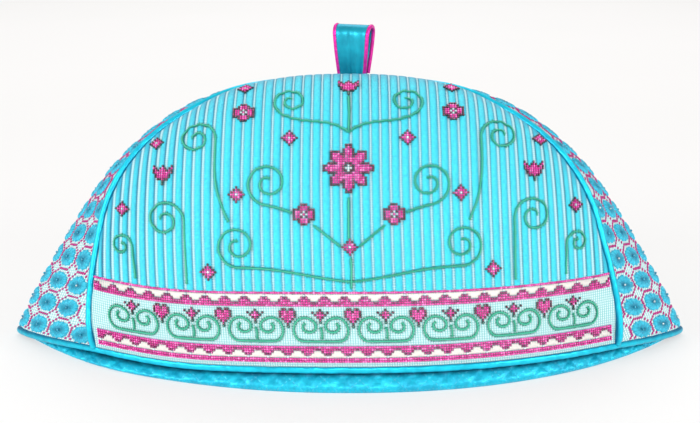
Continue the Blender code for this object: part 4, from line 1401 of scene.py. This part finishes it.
# couched cords and the small ticks that hold them, in millimetres
cordPlan = {"radius": 0.47, "sides": 6, "step": 1.0, "liftLow": 0.52, "liftRib": 0.66, "ribStart": 2.0,
            "tick": 1.27, "tickLow": 0.25, "tickRib": 0.85, "firstTick": 0.6, "lastTick": 0.3}


def overRibs(u, v):
    # 1 on the crest of a rib and 0 beside it and on the border
    return ribProfile(u) * np.clip((v - frontPlan["borderMeshes"]) / cordPlan["ribStart"], 0, 1)


laidLines, laidFacings, tickSpots, tickTurns = [], [], [], []
for line in cordLines:
    steps = lengthsAlong(line)
    wanted = np.linspace(0, steps[-1], int(steps[-1] / cordPlan["step"]) + 1)
    u, v = (np.interp(wanted, steps, line[:, k]) / w for k in (0, 1))
    lift = (cordPlan["liftLow"] + cordPlan["liftRib"] * overRibs(u, v)) * mm
    laidLines.append(frontFace.at(u, v, lift))
    laidFacings.append(frontFace.facing(u, v))
    marks = np.arange(cordPlan["firstTick"], steps[-1] - cordPlan["lastTick"], cordPlan["tick"])
    tickU, tickV = (np.interp(marks, steps, line[:, k]) / w for k in (0, 1))
    slope = np.gradient(np.stack([u, v], -1), axis=0)
    angle = np.arctan2(np.interp(marks, wanted, slope[:, 1]), np.interp(marks, wanted, slope[:, 0]))
    tickSpots.append(points(tickU, tickV, cordPlan["tickLow"] + cordPlan["tickRib"] * overRibs(tickU, tickV)))
    tickTurns.append(angle + 0.5 * math.pi)
keep(laidCord("greenCords", laidLines, laidFacings, cordPlan["radius"] * mm, cordPlan["sides"], greenCord),
     "needlework")
sewnOnFront("couchingTicks", tickStitch, np.concatenate(tickSpots), couchingFloss, np.concatenate(tickTurns),
            sizeSpread=0.12, turnSpread=0.15, seed=11)
print("cosy: green cords are couched")


# one cell of the net in a repeat of ten by ten, its wheel at 0, 0; neighbouring cells share their sides
ringCells = [(5, k) for k in range(-2, 3)] + [(k, 5) for k in range(-2, 3)]
ringCells += [(i * right, j * up) for i, j in ((4, 3), (3, 4)) for right in (1, -1) for up in (1, -1)]
# millimetres from a seam that a wheel, a cell and one stitch of the net need, and the rows of each half
netPlan = {"wheelRoom": 3.2, "ringRoom": -9.0, "stitchRoom": 1.6, "stitchSize": 1.08, "low": 0.1,
           "rows": {-1: 18, 1: 17}, "high": {-1: 17.5, 1: 17.4}}
wheelSpots, ringSpots = {-1: [], 1: []}, {-1: [], 1: []}


def hasRoom(half, a, b, room):
    return half.roomAt(np.array(float(a)), np.array(b)) > room * mm


for hand, half in gussetHalves.items():
    for a in range(-4, 5):
        for row in range(netPlan["rows"][hand]):
            b = row + 0.5
            if hasRoom(half, a, b, netPlan["wheelRoom"]):
                wheelSpots[hand].append((float(a), b))
            if hasRoom(half, a, b, netPlan["ringRoom"]):
                ringSpots[hand] += [(a + i / 10, b + j / 10) for i, j in ringCells]
    for a, b in wheelSpots[hand]:
        if (a - 1, b) not in wheelSpots[hand]:
            ringSpots[hand] += [(a - 0.5, b + j / 10) for j in range(-2, 3)]
    ringSpots[hand] = sorted(set((round(a, 2), round(b, 2)) for a, b in ringSpots[hand]))


def sewnOnGusset(name, piece, spotsOf, finish, lift, size, slanted, sizeSpread, turnSpread, seed):
    # slanted stitches cross one mesh of the canvas from corner to corner
    places, facings, lays, stretches = [], [], [], []
    for hand, half in gussetHalves.items():
        a, b = np.array(spotsOf[hand], float).T
        places.append(half.at(a, b, lift * mm))
        facings.append(half.facing(a, b))
        across = unit(half.at(a + 0.1, b) - half.at(a - 0.1, b))
        up = unit(half.at(a, b + 0.1) - half.at(a, b - 0.1))
        spread = half.spreadAt(b)[:, None]
        lays.append(unit(up + across * hand * spread) if slanted else up)
        stretches.append(points(1.0, spread[:, 0] if slanted else np.ones(len(a)), 1.0))
    tint = np.random.default_rng(seed).random(sum(len(place) for place in places))
    item = sewn(name, piece, np.concatenate(places), np.concatenate(facings), np.concatenate(lays), finish,
                size, np.concatenate(stretches), tint, sizeSpread, turnSpread, seed)
    return keep(item, "mint_canvas")


def sewWheels():
    # every wheel lies on the canvas, its satin stitches running from the rim to the middle
    plan = wheelPlan
    shape = len(plan["rings"]), plan["sides"]
    turn = 2 * math.pi * np.arange(plan["sides"]) / plan["sides"]
    lump = np.where(np.arange(plan["sides"]) % 2 == 0, 1.0, -1.0)
    random = np.random.default_rng(13)
    places, faces, maps = [], [], []
    for hand, half in gussetHalves.items():
        for a, b in wheelSpots[hand]:
            wobble = plan["lump"] * (lump + plan["wobble"] * random.standard_normal(plan["sides"]))
            for share, height, ripple in plan["rings"]:
                reach = share * (1 + wobble * (share > plan["rim"]))
                lift = (height + ripple * lump) * mm
                places.append(half.at(a + hand * plan["across"] * reach * np.cos(turn),
                                      b + plan["up"] * reach * np.sin(turn), lift))
            start = shape[0] * shape[1] * len(maps)
            faces += [[start + i for i in face] for face in loftedFaces(*shape)]
            maps.append(loftedMap(*shape))
    item = meshObject("satinWheels", np.concatenate(places), faces, np.concatenate(maps))
    outward(item.data)
    keep(item, "mint_canvas", [], wheelFinish())


sewWheels()
netSpots = {}
for hand, half in gussetHalves.items():
    inside = [(a, b) for a, b in ringSpots[hand] if netPlan["low"] < b <= netPlan["high"][hand]]
    netSpots[hand] = [(a, b) for a, b in inside if hasRoom(half, a, b, netPlan["stitchRoom"])]
sewnOnGusset("netStitches", tentStitch, netSpots, ringFloss, lift=0.0, size=netPlan["stitchSize"],
             slanted=True, sizeSpread=0.08, turnSpread=0.12, seed=17)
# about one wheel in five has a clear bead, and the others have teal ones
chance = np.random.default_rng(19)
clearSpots, tealSpots = {-1: [], 1: []}, {-1: [], 1: []}
for hand in (-1, 1):
    for spot in wheelSpots[hand]:
        chosen = clearSpots if chance.random() < wheelPlan["clearShare"] else tealSpots
        chosen[hand].append(spot)
for beadName, beadSpots, beadLook, seed in (("tealWheelBeads", tealSpots, "teal beads", 23),
                                            ("clearWheelBeads", clearSpots, "clear beads", 29)):
    sewnOnGusset(beadName, wheelBead, beadSpots, beadFinishes[beadLook], lift=wheelPlan["beadLift"],
                 size=wheelPlan["beadSize"], slanted=False, sizeSpread=0.08, turnSpread=1.5, seed=seed)
print("cosy: wheels and net are sewn on the gusset")
for piece in templates:
    bpy.data.objects.remove(piece, do_unlink=True)


cameraPlan = {"lens": 66.07, "sensor": 36.0, "place": (0.0, -0.70, 0.26), "tilt": 75.07}
camera = bpy.data.objects.new("camera", bpy.data.cameras.new("camera"))
camera.data.sensor_width = cameraPlan["sensor"]
camera.data.lens = cameraPlan["lens"]
camera.location = cameraPlan["place"]
camera.rotation_euler = (math.radians(cameraPlan["tilt"]), 0.0, 0.0)
bpy.context.scene.collection.objects.link(camera)
bpy.context.scene.camera = camera

# a white sheet that gives off a little light of its own, as the photograph's ground is nearly pure white
floorPlan = {"half": 6.0, "glow": 0.52, "glowColour": (1.0, 0.985, 0.975, 1.0), "cloud": 0.4,
             "colours": ((0.40, 0.40, 0.39), (0.43, 0.42, 0.42))}
corners = [(x * floorPlan["half"], y * floorPlan["half"], 0) for x, y in ((-1, -1), (1, -1), (1, 1), (-1, 1))]
floor = meshObject("floor", corners, [(0, 1, 2, 3)], smooth=False)
floorFinish = Finish("lit white table", {
    "Roughness": 0.9, "Specular IOR Level": 0.2, "Emission Strength": floorPlan["glow"],
    "Emission Color": floorPlan["glowColour"]})
floorCloud = floorFinish.noise(floorPlan["cloud"])
floorFinish.feed("Base Color", floorFinish.blend(floorCloud, *floorPlan["colours"]))
floor.data.materials.append(floorFinish.material)

middleOfCosy = (0, 0, 0.07)
lampPlan = {                     # place, size, power and what it points at
    "leftLamp": ((-1.25, -0.85, 0.60), 0.6, 11.0, middleOfCosy),
    "rightLamp": ((1.25, -0.85, 0.60), 0.6, 9.0, middleOfCosy),
    "frontLamp": ((0.05, -1.15, 0.50), 0.3, 4.0, middleOfCosy),
    "floorLamp": ((0, 1.5, 1.7), 1.6, 15.0, (0, 1.5, 0)),
}
roomLight = 0.60
for lampName, (lampPlace, lampSize, lampPower, lampAim) in lampPlan.items():
    lamp = bpy.data.lights.new(lampName, "AREA")
    lamp.shape = "DISK"
    lamp.size = lampSize
    lamp.energy = lampPower
    holder = bpy.data.objects.new(lampName, lamp)
    holder.location = lampPlace
    holder.rotation_euler = (Vector(lampAim) - Vector(lampPlace)).to_track_quat("-Z", "Y").to_euler()
    bpy.context.scene.collection.objects.link(holder)
world = bpy.data.worlds.new("pale room")
world.use_nodes = True
world.node_tree.nodes["Background"].inputs["Color"].default_value = (1.0, 1.0, 1.0, 1.0)
world.node_tree.nodes["Background"].inputs["Strength"].default_value = roomLight
bpy.context.scene.world = world
bpy.context.scene.view_settings.view_transform = "Standard"   # colours as they are mixed
print("cosy: camera, floor and lamps are set up")

# every piece hangs from the root, hides the CAD parts it stands for and has its triangles counted
triangles = 0
for item, slotName, nodes in cosyPieces:
    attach(item, "root")
    if nodes:
        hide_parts(*nodes)
    item.data.calc_loop_triangles()
    count = len(item.data.loop_triangles)
    triangles += count
    print(f"cosy: {item.name} has {count} triangles")
print(f"cosy: {triangles} triangles in all")

print("cosy: done")
